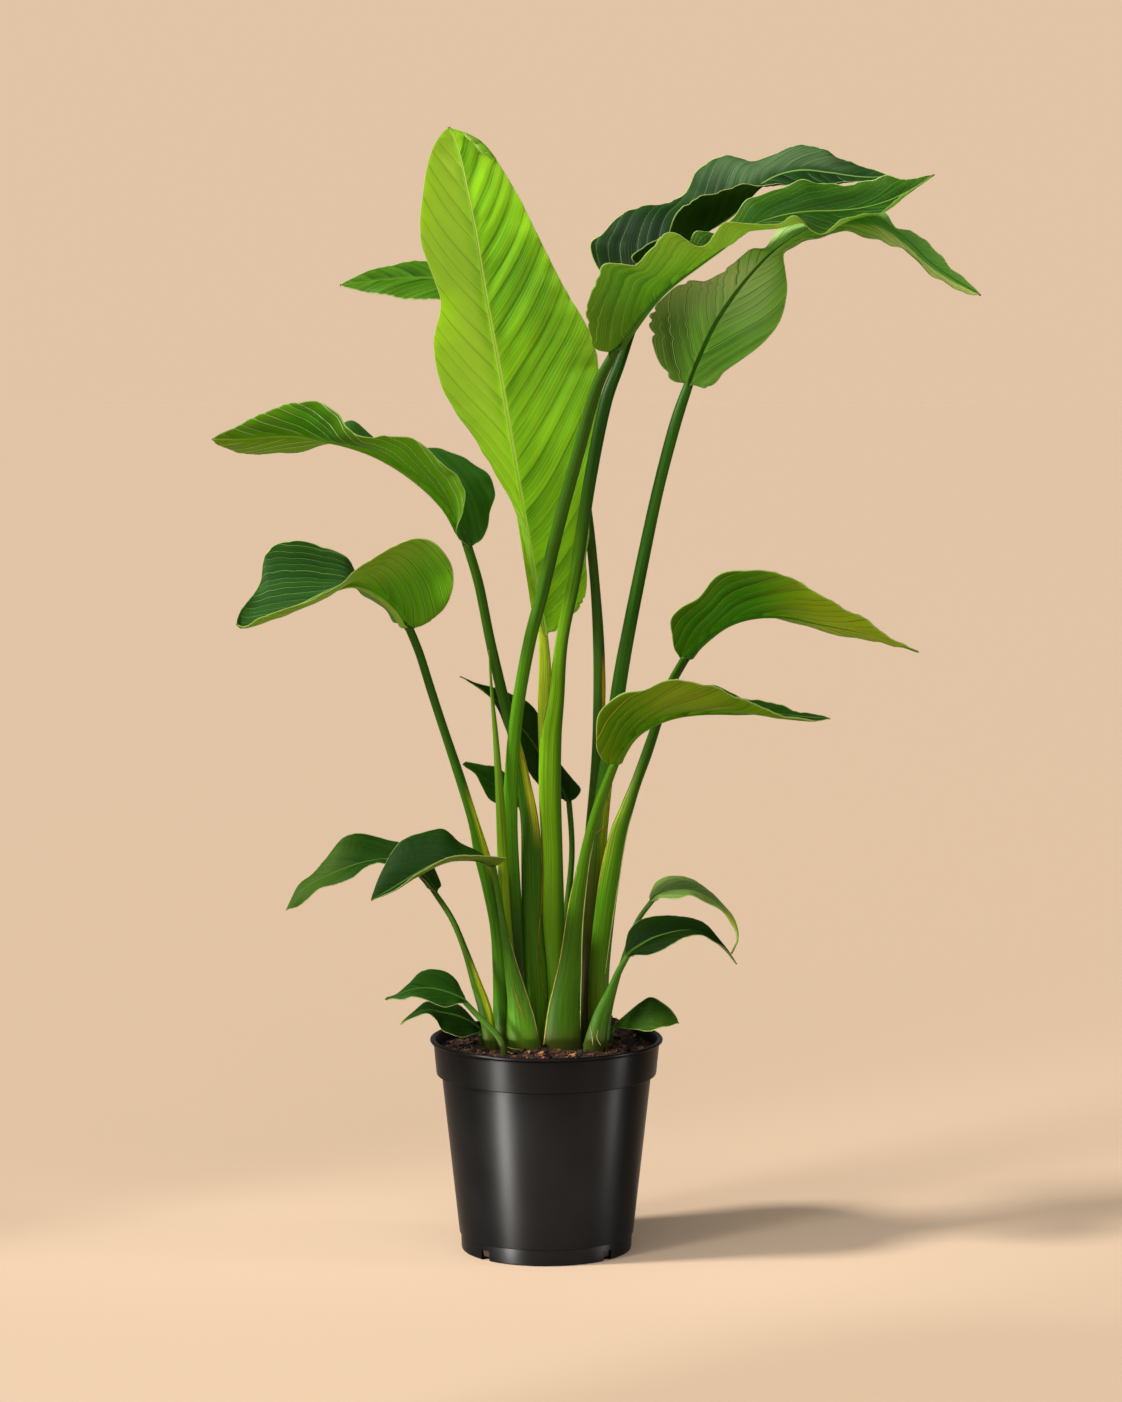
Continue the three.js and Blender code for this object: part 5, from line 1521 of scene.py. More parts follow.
@dataclass
class Soil:
    """Potting mix: a lumpy heap with loose bark, coir fibres and a few roots on it."""

    pot: Pot
    body_finish: SoilFinish
    bit_finish: SoilFinish
    root_finish: DryEdgeFinish
    edge: float = 208.5            # its height at the wall, above the pot's foot
    reach: float = 110.0           # radius that the heights are worked out for
    heap: float = 6.0
    lump: float = 1.6
    small: float = 0.7
    crumb: float = 0.35
    mound: float = 19.0            # heaped up at the right, behind the stalks
    mound_at: Span = (58.0, 76.0)
    mound_width: float = 30.0
    gap: float = 0.6               # to the pot
    bits_reach: float = 107.0
    fibres_reach: float = 104.0
    rings: int = 70
    segments: int = 220
    bits: int = 2600
    fibres: int = 130
    seed: int = 7

    def surface(self, x: np.ndarray, y: np.ndarray) -> np.ndarray:
        """Works out how high the soil lies.

        Args:
            x: places to the right of the pot's axis in mm.
            y: and behind it.

        Returns:
            The height in mm above the pot's foot at each place.
        """
        radius, angle = np.hypot(x, y), np.arctan2(y, x)
        lumps = np.sin(angle * 5 + radius * 0.11) * np.sin(radius * 0.17 + 1.3) \
            + 0.6 * np.sin(angle * 9 - radius * 0.23)
        small = np.sin(x * 0.9 + 2 * np.sin(y * 0.31)) * np.sin(y * 1.1 + 2 * np.sin(x * 0.27))
        tiny = np.sin(x * 2.3 + y * 1.1) * np.sin(y * 2.7 - x * 0.7)
        # The lumps run out toward the wall and the axis.
        lumps = lumps * np.minimum(1, (self.reach - radius) / 15) * np.minimum(1, radius / 20)
        from_mound = (x - self.mound_at[0]) ** 2 + (y - self.mound_at[1]) ** 2
        mound = self.mound * np.exp(-from_mound / self.mound_width ** 2)
        return self.edge + mound + self.heap * (1 - (radius / self.reach) ** 2) + self.lump * lumps \
            + self.small * small + self.crumb * tiny

    def build_body(self) -> Piece:
        """Makes the filling as one closed piece.

        Returns:
            The piece.
        """
        pot, turn = self.pot, ring_angles(self.segments)
        radii = (float(pot.inside(self.edge)) - self.gap) * np.linspace(1, 0.004, self.rings)
        x, y = radii[:, None] * np.cos(turn), radii[:, None] * np.sin(turn)
        top = np.stack([x, y, self.surface(x, y)], axis=-1)
        under = pot.height - pot.band_height
        levels = [(pot.base + self.gap / 2, pot.foot_radius - pot.wall - self.gap),
                  *((z, float(pot.inside(z)) - self.gap) for z in (pot.ring_height, under - 3, under + 1))]
        side = np.array([np.column_stack([r * np.cos(turn), r * np.sin(turn), np.full(self.segments, z)])
                         for z, r in levels])
        points = np.concatenate([side, top]) * MM
        tone = 0.15 + 0.2 * np.random.default_rng(self.seed).random(points.shape[0] * points.shape[1])
        parts = MeshParts()
        parts.add_tube(points, tone=tone)
        return settle(parts.build("soil_body", [self.body_finish.build("body")]), Slot.SOIL, "soil")

    def build_bits(self) -> Piece:
        """Strews flakes of bark and crumbs over the soil.

        Returns:
            The bits as one piece.
        """
        rng = np.random.default_rng(self.seed + 1)
        parts = MeshParts()
        for _ in range(self.bits):
            radius, angle = self.bits_reach * math.sqrt(rng.random()), rng.uniform(0, 2 * math.pi)
            long = rng.choice([1.5, 2.6, 4.2, 7.5], p=[0.35, 0.35, 0.23, 0.07]) * rng.uniform(0.7, 1.3)
            size = np.array([long, long * rng.uniform(0.35, 0.8), rng.uniform(0.8, 1.9)])
            shape = BOX_CORNERS * size + rng.normal(0, 0.14, (8, 3)) * size.min()
            tilt, spin = rng.normal(0, 0.35, 2), rng.uniform(0, 2 * math.pi)
            x, y = radius * math.cos(angle), radius * math.sin(angle)
            shape[:, 2] += shape[:, 0] * tilt[0] + shape[:, 1] * tilt[1]
            turned = shape @ np.array([[math.cos(spin), math.sin(spin), 0],
                                       [-math.sin(spin), math.cos(spin), 0], [0, 0, 1]])
            turned += (x, y, float(self.surface(np.float64(x), np.float64(y))) + rng.uniform(-0.2, 0.9))
            parts.add(turned * MM, BOX_FACES, tone=rng.random() ** 1.7)
        return settle(parts.build("soil_bits", [self.bit_finish.build("bits")], smooth=False), Slot.SOIL)

    def strand(self, parts: MeshParts, path: np.ndarray, radius: float, tone: float, sides: int = 6) -> None:
        """Adds a thin round strand.

        Args:
            parts: the piece it belongs to.
            path: its middle line in mm.
            radius: its radius in mm.
            tone: the value that its colour comes from.
            sides: how many faces it has round it.
        """
        run = unit(np.gradient(path, axis=0))
        side = unit(np.cross(run, np.array([[0.13, 0.27, 0.95]])))
        over = np.cross(side, run)
        turn = ring_angles(sides)
        taper = radius * np.sqrt(np.clip(np.sin(math.pi * np.linspace(0.03, 0.97, len(path))), 0.1, 1))
        rings = path[:, None, :] + taper[:, None, None] * (
            side[:, None, :] * np.cos(turn)[None, :, None] + over[:, None, :] * np.sin(turn)[None, :, None])
        parts.add_tube(rings * MM, tone=tone)

    def build_fibres(self) -> Piece:
        """Lays coir fibres on the soil.

        Returns:
            The fibres as one piece.
        """
        rng = np.random.default_rng(self.seed + 2)
        parts = MeshParts()
        for _ in range(self.fibres):
            radius, angle = self.fibres_reach * math.sqrt(rng.random()), rng.uniform(0, 2 * math.pi)
            way, bend = rng.uniform(0, 2 * math.pi), rng.normal(0, 0.09)
            steps = np.arange(7) * rng.uniform(0.9, 2.0)
            x = radius * math.cos(angle) + steps * np.cos(way + bend * steps)
            y = radius * math.sin(angle) + steps * np.sin(way + bend * steps)
            pull = np.where(np.hypot(x, y) > 108, 0.95, 1.0)    # off the pot's wall
            x, y = x * pull, y * pull
            height = self.surface(x, y) + 0.8 + rng.uniform(0, 1.5) * np.sin(steps * 0.4)
            path = np.column_stack([x, y, height])
            self.strand(parts, path, rng.uniform(0.2, 0.4), rng.uniform(0.55, 1.0))
        return settle(parts.build("soil_fibres", [self.bit_finish.build("fibres")]), Slot.SOIL)

    def build_roots(self, roots: tuple[Rows, ...], radius: float = 0.45) -> Piece:
        """Lays a few pale surface roots at the foot of the stalks.

        Args:
            roots: for each root, its places on the front view as (across, down, depth).
            radius: their radius in mm.

        Returns:
            The roots as one piece.
        """
        parts = MeshParts()
        for rows in roots:
            path = smooth_curve(VIEW.place(rows), np.linspace(0, 1, 14)) / MM
            self.strand(parts, path, radius, 0.9)
        return settle(parts.build("surface_roots", [self.root_finish.build("roots")]), Slot.SOIL)


@dataclass(frozen=True)
class FarLight:
    """Light from one side of the room or the sky, too far away to fall off."""

    name: str
    place: Place           # it shines from here toward the pot's foot
    strength: float
    degrees: float         # how wide it looks from the plant
    colour: str


@dataclass(frozen=True)
class SoftPanel:
    """A soft rectangular light; places and sizes in metres."""

    name: str
    place: Place
    target: Place
    size: Span      # its width and height
    watts: float
    colour: str
    spread: float = 180.0          # how wide its light opens, in degrees


FAR_LIGHTS = (
    FarLight("daylight", (-3.85, -1.1, 3.1), strength=5.6, degrees=9, colour="#fffaf2"),
    FarLight("sky", (-1.2, -2.4, 2.9), strength=2.0, degrees=80, colour="#ffffff"),
)
PANELS = (
    SoftPanel("window", (-0.9, -0.79, 0.1), (0, 0, 0.08), (0.8, 0.16), watts=3.7, colour="#fffcf8",
              spread=18),
    SoftPanel("far_window", (1.19, -0.14, 0.1), (0, 0, 0.09), (0.5, 0.16), watts=0.9, colour="#fffcf8",
              spread=19),
    SoftPanel("fill", (2.6, -2.6, 0.9), (0, 0, 0.3), (0.4, 1.2), watts=9, colour="#fffaf4"),
)


@dataclass
class Studio:
    """A pale board in soft daylight from the left, with two low windows that the pot's gloss shows."""

    floor: FloorFinish
    floor_radius: float = 40.0
    floor_sides: int = 96
    backdrop: str = "#e1c4a6"              # the pale room that is seen past the board
    behind: Place = (0.34, 0.32, 0.27)     # its light from behind the plant
    before: Place = (0.1, 0.1, 0.095)      # and from the viewer's side
    change: Span = (-0.6, 0.7)    # the one changes to the other between these
    sensor_mm: float = 36.0

    def aim(self, lamp: bpy.types.Light, place: Place, target: Place) -> None:
        """Stands a lamp in the scene.

        Args:
            lamp: the lamp.
            place: where it stands, in metres.
            target: the point that it faces.
        """
        holder = bpy.data.objects.new(lamp.name, lamp)
        holder.location = place
        way = type(holder.location)(target) - holder.location
        holder.rotation_euler = way.to_track_quat("-Z", "Y").to_euler()
        bpy.context.scene.collection.objects.link(holder)

    def lights(self) -> None:
        """Adds the far lights, then the panels."""
        for far in FAR_LIGHTS:
            lamp = bpy.data.lights.new(far.name, "SUN")
            lamp.energy, lamp.angle = far.strength, math.radians(far.degrees)
            lamp.color = linear(far.colour)[:3]
            self.aim(lamp, far.place, (0, 0, 0))
        for panel in PANELS:
            lamp = bpy.data.lights.new(panel.name, "AREA")
            lamp.shape, lamp.energy = "RECTANGLE", panel.watts
            lamp.size, lamp.size_y = panel.size
            lamp.spread = math.radians(panel.spread)
            lamp.color = linear(panel.colour)[:3]
            self.aim(lamp, panel.place, panel.target)

    def surroundings(self) -> bpy.types.World:
        """Makes the room's light: pale behind the plant and dim on the viewer's side.

        Returns:
            The surroundings.
        """
        g = Graph("pale_room", surroundings=True)
        way = g.add("TexCoord", None, None, out="Generated")
        depth = g.add("SeparateXYZ", None, {0: way}, out=1)
        share = g.add("MapRange", SMOOTH, {"Value": depth, "From Min": self.change[0],
                                           "From Max": self.change[1]})
        light = g.add("MixRGB", None, {0: share, 1: (*self.before, 1.0), 2: (*self.behind, 1.0)})
        seen = g.add("LightPath", None, None, out="Is Camera Ray")
        colour = g.add("MixRGB", None, {0: seen, 1: light, 2: linear(self.backdrop)})
        return g.finish(g.add("Background", None, {"Color": colour}))

    def build(self) -> None:
        """Sets up the board, the lights, the surroundings and the camera."""
        parts = MeshParts()
        turn = ring_angles(self.floor_sides)
        rim = np.column_stack([np.cos(turn), np.sin(turn), np.zeros(self.floor_sides)]) * self.floor_radius
        parts.add(rim, [np.arange(self.floor_sides)])
        parts.build("floor", [self.floor.build()], smooth=False)
        self.lights()
        scene = bpy.context.scene
        scene.world = self.surroundings()
        scene.view_settings.view_transform = "Standard"
        camera = bpy.data.cameras.new("front_view")
        camera.sensor_width = self.sensor_mm
        camera.lens = camera.sensor_width * VIEW.focal / VIEW.height
        holder = bpy.data.objects.new("front_view", camera)
        holder.location = [value * MM for value in VIEW.eye_mm]
        holder.rotation_euler = (math.radians(90 - VIEW.tilt_deg), 0, 0)
        scene.collection.objects.link(holder)
        scene.camera = holder


# ---- the plant's own finishes and details --------------------------------------------------

# Its main veins are dark creases, painted shade, with painted light on the ridge beside each; its seam is the
# midrib groove's painted shade.
LIME_UPPER = LeafFinish(
    "#4d960c", "#b4f929", "#437409", "#c4f34c", "#d4f964", "#eaff84", "#b8e929", bands=0.8, lines=0.4,
    threads=0.5, streaks=1.3, edge_glow=0.25, base_glow=0.1, rough=0.45, through=0.6, lit="#d8ff4a",
    seam="#93b22c", rib_mm=3.6, patches=(
        # Painted light: the left half glows with the light through it.
        Patch("#e0ff5c", 0.9, (0.25, 0.98), (-1.2, -0.1), (0.12, 0.2)),
        # Painted shade over the middle of the right half and along its right margin.
        Patch("#1f5c04", 0.6, (0.4, 0.7), (0.4, 1.2), (0.08, 0.25)),
        Patch("#3c6a0e", 0.55, (0.18, 0.6), (0.82, 1.2), (0.1, 0.15))))
LIME_UNDER = LeafFinish(
    "#63ad11", "#a3db2e", "#bedc55", "#5f951a", "#b9d957", "#bed864", "#a9cd32", lines=0.4, through=0.55,
    # Painted shade inside the roll at the tip's right margin.
    lit="#d8f24a", patches=(Patch("#2f6a0a", 0.6, (0.8, 1.2), (0.5, 1.2), (0.04, 0.1)),))
GREEN_UPPER = LeafFinish(
    "#153802", "#356805", "#769643", "#193807", "#587e2c", "#7a9b3c", "#588212", base_glow=0.1, lines=0.5,
    threads=0.35, bands=0.5, streaks=1.0, gloss=0.1)
GREEN_UNDER = LeafFinish(
    "#1b5f03", "#48ba0a", "#97c248", "#204e06", "#83af37", "#9abf45", "#7d9712", lines=0.85, threads=0.35,
    through=0.42, bands=0.7, streaks=1.1, gloss=0.12)
DARK_UPPER = LeafFinish(
    "#061a02", "#153404", "#34531c", "#0a1e04", "#2e4d15", "#456322", "#2e510e", edge_glow=0.1,
    base_glow=0.05, margin="#869a58", rough=0.5, through=0.2, gloss=0.06, lines=0.35, threads=0.3,
    streaks=1.0, rib_mm=1.6, rim_mm=0.6)
# Near-black greens: painted shade of undersides that face down, away from the light.
DARK_UNDER = LeafFinish(
    "#0a2706", "#173c09", "#4c6a2d", "#0a2206", "#3e6026", "#77963d", "#345b10", lines=0.25, through=0.25,
    gloss=0.05, rough=0.55, streaks=1.0, rim_mm=0.7)
SAGE_UPPER = LeafFinish(
    "#46911f", "#9aeb50", "#c7e587", "#386318", "#cbe78e", "#2f5b14", "#a2cb4a", lines=0.8, threads=0.65,
    bands=0.6, streaks=1.3, base_glow=0.05, rough=0.48, gloss=0.12)
BLUE_UPPER = LeafFinish(
    "#0f2c0d", "#265515", "#779557", "#0e280e", "#507739", "#779847", "#497529", lines=0.4, threads=0.25,
    bands=0.6, streaks=1.2, edge_glow=0.1, base_glow=0.05, rough=0.55, gloss=0.08, through=0.25)
# Bright greens and a dark keel: painted light through the blade, and the keel's painted shade.
BRIGHT_UNDER = LeafFinish(
    "#318216", "#88ee34", "#c4dd65", "#407613", "#bdd953", "#477a23", "#a8d036", lines=0.5, threads=0.5,
    streaks=1.4, bands=0.6, through=0.45, lit="#a4d83a")
OLIVE_UNDER = LeafFinish(
    "#286801", "#67bc02", "#bdcb37", "#325905", "#9db626", "#678f1f", "#9eae0f", lines=0.9, threads=0.35,
    bands=0.6, streaks=1.1, base_glow=0.25, gloss=0.08)

# Each leaf's slot, and the finish of its upper and its under face.
LEAF_LOOKS = {
    "tall_center": (Slot.LEAF_LIME, LIME_UPPER, LIME_UNDER),
    "high_back_left": (
        Slot.LEAF_GREEN, replace(GREEN_UPPER, deep="#1f4a04", light="#569010", bands=0.7), GREEN_UNDER),
    "high_back_right": (
        Slot.LEAF_DARK,
        replace(BLUE_UPPER, deep="#031609", light="#153f14", lines=0.32, patches=(
            # Painted shade near the base, and a grey-green painted sheen further out.
            Patch("#04140a", 0.6, (-0.2, 0.38), (-1.3, 0.1)),
            Patch("#7c9c6c", 0.3, (0.6, 0.88), (-1.0, -0.15), (0.06, 0.2)))),
        # Near black under face: painted shade.
        replace(DARK_UNDER, deep="#020c02", light="#081c04", vein="#20380e", thread="#16280a", gloss=0.02,
                lines=0.2)),
    "high_front_right": (
        Slot.LEAF_GREEN,
        replace(GREEN_UPPER, deep="#061c03", light="#1f4e09", vein="#6f9046", lines=0.6, patches=(
            # Painted shade: near black over the inner half of the upper face, which shows only in shade.
            Patch("#020602", 0.95, (0.1, 0.56), (-1.3, 1.3), (0.03, 0.1)),
            Patch("#0c2a08", 0.5, (0.5, 0.75), (-1.3, 1.3)))),
        replace(BRIGHT_UNDER, patches=(
            Patch("#0a3c04", 0.88, (-0.2, 0.2), (-1.3, 1.3), (0.1, 0.3)),
            # Painted light: the glow of light through the middle of the blade.
            Patch("#ccff54", 0.5, (0.36, 0.75), (-1.3, 1.3), (0.1, 0.3))))),
    "right_drooping": (
        Slot.LEAF_GREEN,
        replace(SAGE_UPPER, patches=(
            Patch("#1c4a0c", 0.85, (-0.1, 0.36), (-1.3, -0.4), (0.08, 0.25)),
            # Painted sheen: a pale grey-green over the middle of the blade.
            Patch("#deffac", 0.8, (0.26, 0.6), (-1.3, 0.7), (0.1, 0.3)),
            Patch("#46a02c", 0.9, (0.58, 1.2), (-1.2, 0.25), (0.05, 0.1)),
            # Painted light: the strip along the tip's right margin is painted bright, though another leaf
            # shades it.
            Patch("#fbff8c", 0.97, (0.6, 1.2), (0.3, 1.4), (0.06, 0.08)))),
        GREEN_UNDER),
    "left_high": (
        Slot.LEAF_GREEN,
        replace(DARK_UPPER, deep="#1c400f", light="#3f7030", through=0.35),
        replace(GREEN_UNDER, through=0.5, vein="#e4f4b4", beside="#4a8418", lines=1.0, patches=(
            # Painted light and shade: light through the base and middle, yellow-olive light toward the tip,
            # and shade in the middle of the left half.
            Patch("#80d41c", 0.7, (-0.2, 0.62), (-1.3, 1.3), (0.1, 0.3)),
            Patch("#9cb81c", 0.65, (0.5, 1.2), (0.0, 1.2)),
            Patch("#7ca810", 0.4, (0.8, 1.2), (-1.2, 0.2)),
            Patch("#17400a", 0.55, (0.5, 0.72), (-1.2, -0.3), (0.08, 0.2))))),
    "left_middle": (
        Slot.LEAF_GREEN,
        replace(BLUE_UPPER, lines=0.7, deep="#0c260b", light="#255414", bands=0.3),
        replace(GREEN_UNDER, patches=(
            Patch("#a8cc3c", 0.6, (0.3, 1.2), (-1.2, 0.2), (0.06, 0.2)),
            Patch("#70bc14", 0.5, (-0.2, 0.36), (-1.3, 0.6), (0.08, 0.3))))),
    "right_middle": (
        Slot.LEAF_GREEN, GREEN_UPPER,
        # Under face: the dark midrib is the keel's painted shade; darker toward the base and yellow toward
        # the tip is painted shade and light.
        replace(GREEN_UNDER, midrib="#3c6e14", patches=(
            Patch("#1c4e08", 0.4, (-0.2, 0.42), (-1.3, 1.3)),
            Patch("#c8dc20", 0.75, (0.56, 1.2), (-1.2, 1.2), (0.15, 0.2))))),
    "right_low_front": (
        Slot.LEAF_GREEN, DARK_UPPER,
        replace(OLIVE_UNDER, patches=(
            # Painted light and shade: darker toward the base, yellow light on the right half further out.
            Patch("#2a5806", 0.35, (-0.2, 0.3), (-1.3, 1.3)),
            Patch("#c8c83c", 0.35, (0.34, 0.62), (0.2, 1.0))))),
    "left_low_back": (
        Slot.LEAF_DARK,
        replace(DARK_UPPER, deep="#081d03", light="#1e440a", patches=(
            Patch("#587a1e", 0.3, (0.6, 1.2), (-1.3, 1.3)),)),
        DARK_UNDER),
    "left_low_front": (
        Slot.LEAF_DARK, replace(DARK_UPPER, deep="#041902", light="#0f3203"),
        replace(OLIVE_UNDER, deep="#3c5c24", light="#6f8c50")),
    "left_rim_upper": (Slot.LEAF_DARK, replace(DARK_UPPER, light="#24500e"), DARK_UNDER),
    "left_rim_lower": (Slot.LEAF_DARK, DARK_UPPER, DARK_UNDER),
    "right_low_upper": (
        Slot.LEAF_GREEN,
        replace(SAGE_UPPER, deep="#0e2005", light="#243812", lines=0.5, threads=0.5, rib_mm=1.4, rim_mm=0.6,
                patches=(Patch("#c4c040", 0.9, (0.68, 1.2), (-1.2, 1.2)),)),
        GREEN_UNDER),
    "right_low_lower": (
        # Near black: painted shade under the leaves above.
        Slot.LEAF_DARK, replace(DARK_UPPER, deep="#020c01", light="#081a04", gloss=0.02), DARK_UNDER),
    "right_rim": (
        Slot.LEAF_GREEN,
        replace(GREEN_UPPER, deep="#091b02", light="#133104", rib_mm=1.4, rim_mm=0.6, patches=(
            Patch("#143008", 0.7, (-0.2, 0.45), (-1.2, 1.2)),)),
        GREEN_UNDER),
    "inner_back": (Slot.LEAF_DARK, replace(DARK_UPPER, lines=0.6), DARK_UNDER),
    "inner_left": (Slot.LEAF_DARK, replace(DARK_UPPER, deep="#123806", light="#2c6410"), DARK_UNDER),
}

# A stalk's patches lie between two heights in mm.
STALK_LOOKS = {
    "tall_center": StalkFinish("#6a9b12", "#96b817", "#acc42a"),
    "high_back_left": StalkFinish("#2f500a", "#2c4c0a", "#2c4c0a", patches=(
        Patch("#b8a018", 0.8, (560, 605), (0.45, 1.2), (14, 0.2)),)),
    "high_back_right": StalkFinish("#89b912", "#6ba00f", "#183a01", patches=(
        Patch("#2c5a06", 0.7, (190, 400), (-1.3, 1.3), (110, 0.3)),
        # Painted shade down the right side, away from the light.
        Patch("#1e4a06", 0.75, (150, 900), (0.45, 1.3), (60, 0.35)))),
    "high_front_right": StalkFinish("#305b02", "#457c07", "#2e5207", patches=(
        Patch("#162a05", 0.8, (200, 370), (-1.2, 1.2), (80, 0.4)),)),
    "right_drooping": StalkFinish("#2c3a04", "#2f5c08", "#285406", patches=(
        Patch("#8a9c10", 0.6, (400, 500), (0.2, 1.2), (40, 0.3)),
        Patch("#3c2606", 0.5, (240, 420), (-1.2, 0.3), (60, 0.4)))),
    "left_high": StalkFinish("#3f6802", "#295003", "#2c5105", patches=(
        Patch("#b4b81c", 0.75, (440, 520), (0.2, 1.2), (30, 0.4)),
        Patch("#2c4c06", 0.5, (300, 460), (-1.2, 0.0), (60, 0.5)))),
    "left_middle": StalkFinish("#487a03", "#315f02", "#264b03", patches=(
        Patch("#a8b418", 0.8, (395, 470), (0.3, 1.2), (20, 0.3)),
        Patch("#234c05", 0.7, (190, 300), (-1.3, 1.3), (70, 0.3)))),
    "right_middle": StalkFinish("#3a4704", "#3f6f03", "#2a5005", patches=(
        Patch("#8c9c12", 0.35, (400, 480), (-1.2, -0.1), (40, 0.5)),)),
    "right_low_front": StalkFinish("#254301", "#335702", "#426d06"),
    "left_low_front": StalkFinish("#43700e", "#3a640c", "#355c10"),
    "left_low_back": StalkFinish("#3c5c0c", "#35580a", "#35580c", patches=(
        Patch("#a8b018", 0.75, (240, 300), (0.2, 1.2), (14, 0.3)),)),
}
PLAIN_STALK = StalkFinish("#345a0a", "#2f520a", "#355c10")

HABITS = {
    "tall_center": Habit(vein=26.0, lean=0.8, lean_tip=0.5, curve=0.3, puff=1.2, step=1.4, wave=1.5,
                         frills=(Frill(1, 0.0, 0.22, 3.0, 11.0),),
                         rolls=(Roll(1, 0.845, 1.0, 170, 0.38, 0.2),)),
    "high_back_left": Habit(lean=1.5, puff=1.0, wave=0.5),
    "high_back_right": Habit(vein=18.0, lean=0.8, lean_tip=0.6, puff=1.0, wave=2.5),
    "high_front_right": Habit(vein=18.0, lean=0.6, lean_tip=1.9, puff=0.5, wave=3.0,
                              frills=(Frill(1, 0.0, 0.45, 3.0, 15.0),)),
    "right_drooping": Habit(vein=16.0, lean=1.0, lean_tip=0.8, puff=0.35, step=0.5, wave=2.5,
                            frills=(Frill(-1, 0.0, 0.42, 6.0, 19.0), Frill(1, 0.0, 0.12, 7.0, 14.0))),
    "left_high": Habit(vein=24.0, lean=1.9, lean_tip=0.8, curve=0.2, puff=0.8),
    "left_middle": Habit(vein=20.0, lean=1.2, lean_tip=1.2, wave=2.0, puff=0.4,
                         frills=(Frill(-1, 0.0, 0.12, 3.0, 10.0), Frill(1, 0.5, 0.95, 2.5, 24.0))),
    "right_middle": Habit(vein=19.0, lean=1.3, lean_tip=1.0, puff=0.6),
    "right_low_front": Habit(vein=20.0, lean=1.4, lean_tip=1.0, curve=0.2, puff=0.6),
}
SMALL_HABIT = Habit(vein=9.0, lean=1.5, lean_tip=0.8, puff=0.3, step=0.4, wave=0.7)



@dataclass(frozen=True)
class LeafGrid:
    """How finely a leaf is meshed."""

    step_mm: float     # along the blade
    columns: int       # of each half blade
    sides: int         # of its stalk


SMALL_GRID = LeafGrid(1.8, 16, 20)
LARGE_GRID = LeafGrid(2.4, 30, 28)
FIRST_LEAF_SEED = 11
SPEAR_SEED = 40
SOIL_BODY = SoilFinish("#130a05", "#23130a", "#382112")
SOIL_BITS = SoilFinish("#170c06", "#432210", "#8a5c34")
ROOT_SKIN = DryEdgeFinish("#8a7450", "#5c482c")
SPEAR_SKIN = StalkFinish("#325202", "#607e07", "#4c7010")

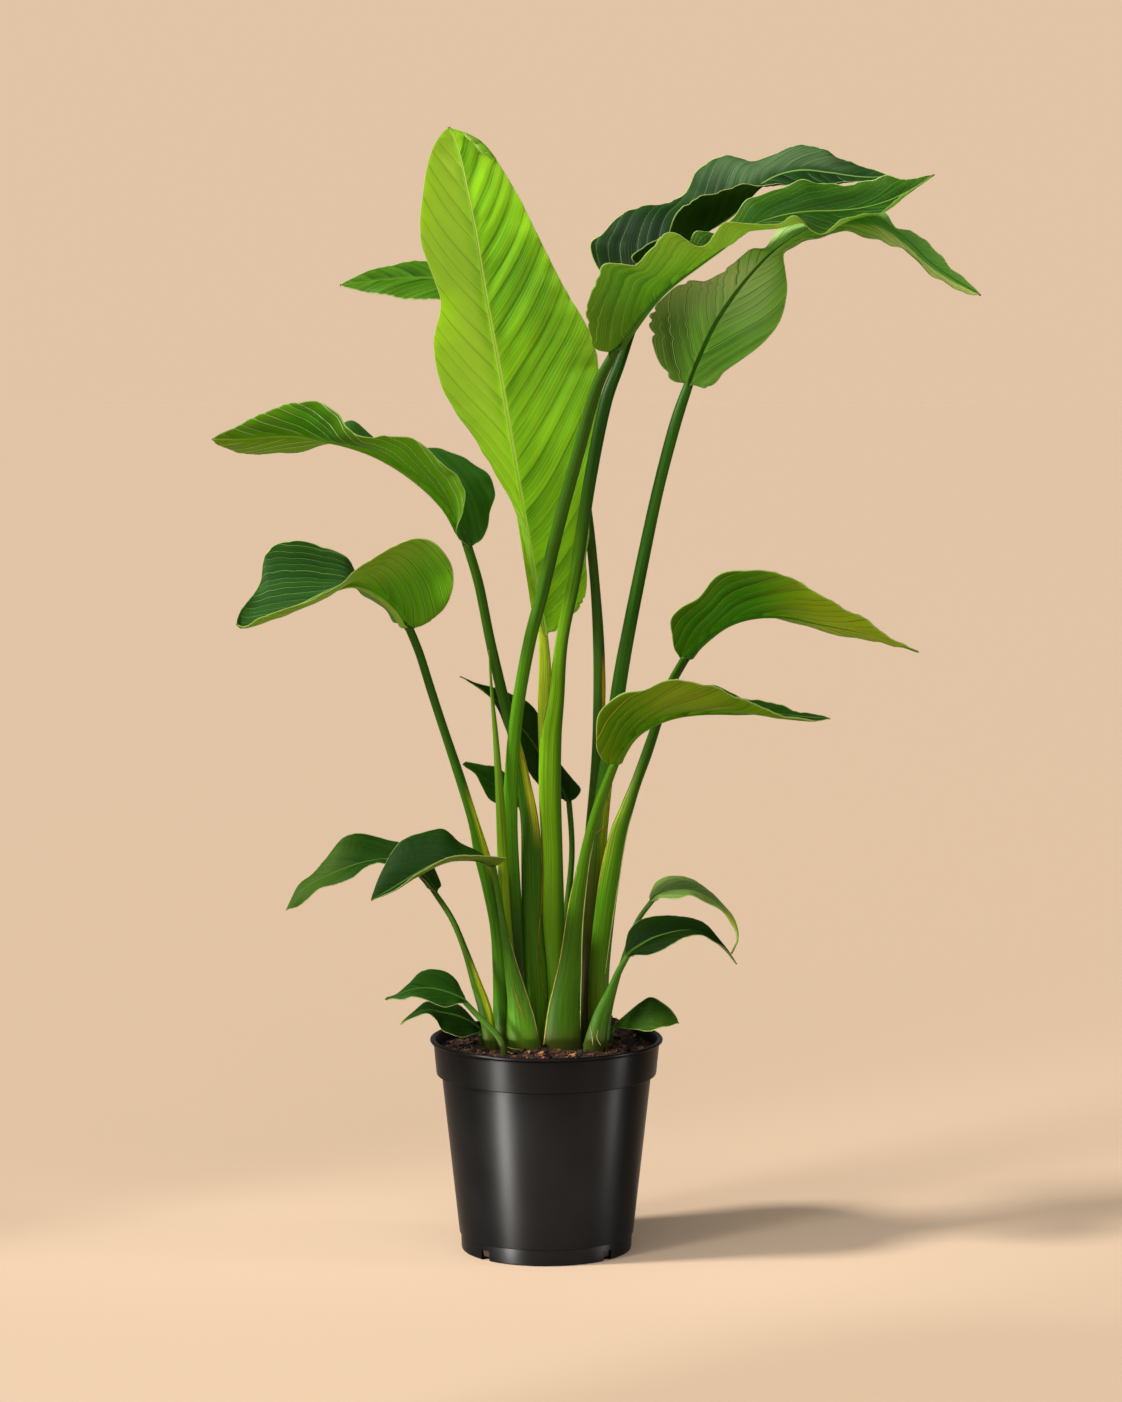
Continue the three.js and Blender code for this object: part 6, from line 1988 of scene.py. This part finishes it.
SHEATH_EDGES = (
    SheathEdge("left_high", "left_high", EdgeTone.BROWN,
               ((519, 751), (526.5, 766), (534, 789), (538, 801), (543, 836), (547, 860), (543, 900),
                (539, 931), (540, 963), (547, 1008))),
    SheathEdge("high_back_right", "high_back_right", EdgeTone.BROWN, ((552, 657), (541, 710), (538, 738))),
    SheathEdge("high_back_left", "high_back_left", EdgeTone.ORANGE, ((607, 666), (611, 687), (609, 701))),
    SheathEdge("right_drooping", "right_drooping", EdgeTone.BROWN,
               ((606, 777), (608, 822), (598, 832), (590, 842))),
    SheathEdge("right_middle_left", "right_middle", EdgeTone.ORANGE,
               ((631, 783), (619, 805), (608, 832), (597, 875), (589, 903))),
    SheathEdge("right_middle_right", "right_middle", EdgeTone.PALE,
               ((634, 809), (628, 836), (619, 879), (612, 924), (605, 974))),
    SheathEdge("right_low_left", "right_low_front", EdgeTone.STRAW,
               ((577, 870), (568, 903), (560, 955), (553, 991), (547, 1012), (543, 1036), (535, 1054))),
    SheathEdge("right_low_right", "right_low_front", EdgeTone.PALE,
               ((594, 840), (588.5, 868), (582, 938), (582, 1029))),
    SheathEdge("left_low_left", "left_low_front", EdgeTone.BROWN,
               ((512, 983), (519, 1004), (526, 1022))),
    SheathEdge("left_low_right", "left_low_front", EdgeTone.STRAW,
               ((509, 938), (518, 966), (525, 990), (534.5, 1018), (543, 1035))),
    SheathEdge("left_middle", "left_middle", EdgeTone.STRAW, ((479, 824), (486, 838), (493, 853))),
)

ROOTS = (
    ((590, 1026, -52), (592, 1036, -56), (593, 1046, -62)),
    ((598, 1030, -50), (597, 1038, -56), (601, 1046, -62)),
    ((507, 1047, -66), (514, 1049, -68), (521, 1049, -68)),
)


def build_leaf(name: str, plan: LeafPlan, seed: int) -> Stalk:
    """Builds one leaf, blade and stalk.

    Args:
        name: the leaf's name.
        plan: its plan.
        seed: where its random numbers start.

    Returns:
        The stalk, for the edges that lie on it.
    """
    slot, upper, under = LEAF_LOOKS[name]
    grid = SMALL_GRID if plan.small else LARGE_GRID
    blade = Blade(name, plan, (upper, under), slot, HABITS.get(name, SMALL_HABIT), grid.step_mm, grid.columns,
                  seed)
    blade.build()
    stalk = Stalk(name, plan.stem, plan.foot, STALK_LOOKS.get(name, PLAIN_STALK), f"stem_{name}",
                  f"leaf_stalk_{name}", curves=blade.curves, sides=grid.sides, seed=seed)
    stalk.build()
    return stalk


def main() -> None:
    """Builds the plant, its pot and the studio."""
    pot = Pot(PotFinish())
    pot.build()
    soil = Soil(pot, SOIL_BODY, SOIL_BITS, ROOT_SKIN)
    soil.build_body()
    soil.build_bits()
    soil.build_fibres()
    soil.build_roots(ROOTS)
    stalks = {name: build_leaf(name, LEAVES[name], seed) for seed, name in enumerate(LEAVES, FIRST_LEAF_SEED)}
    for edge in SHEATH_EDGES:
        edge.build(stalks[edge.stalk])
    spear = Stalk("spear", SPEAR_STEM, SPEAR_FOOT, SPEAR_SKIN, "spear", "rolled_young_leaf", Slot.SPEAR,
                  seed=SPEAR_SEED)
    spear.build()
    Studio(FloorFinish()).build()


if __name__ == "__main__":
    logging.basicConfig(level=logging.INFO, format="%(message)s")
    main()
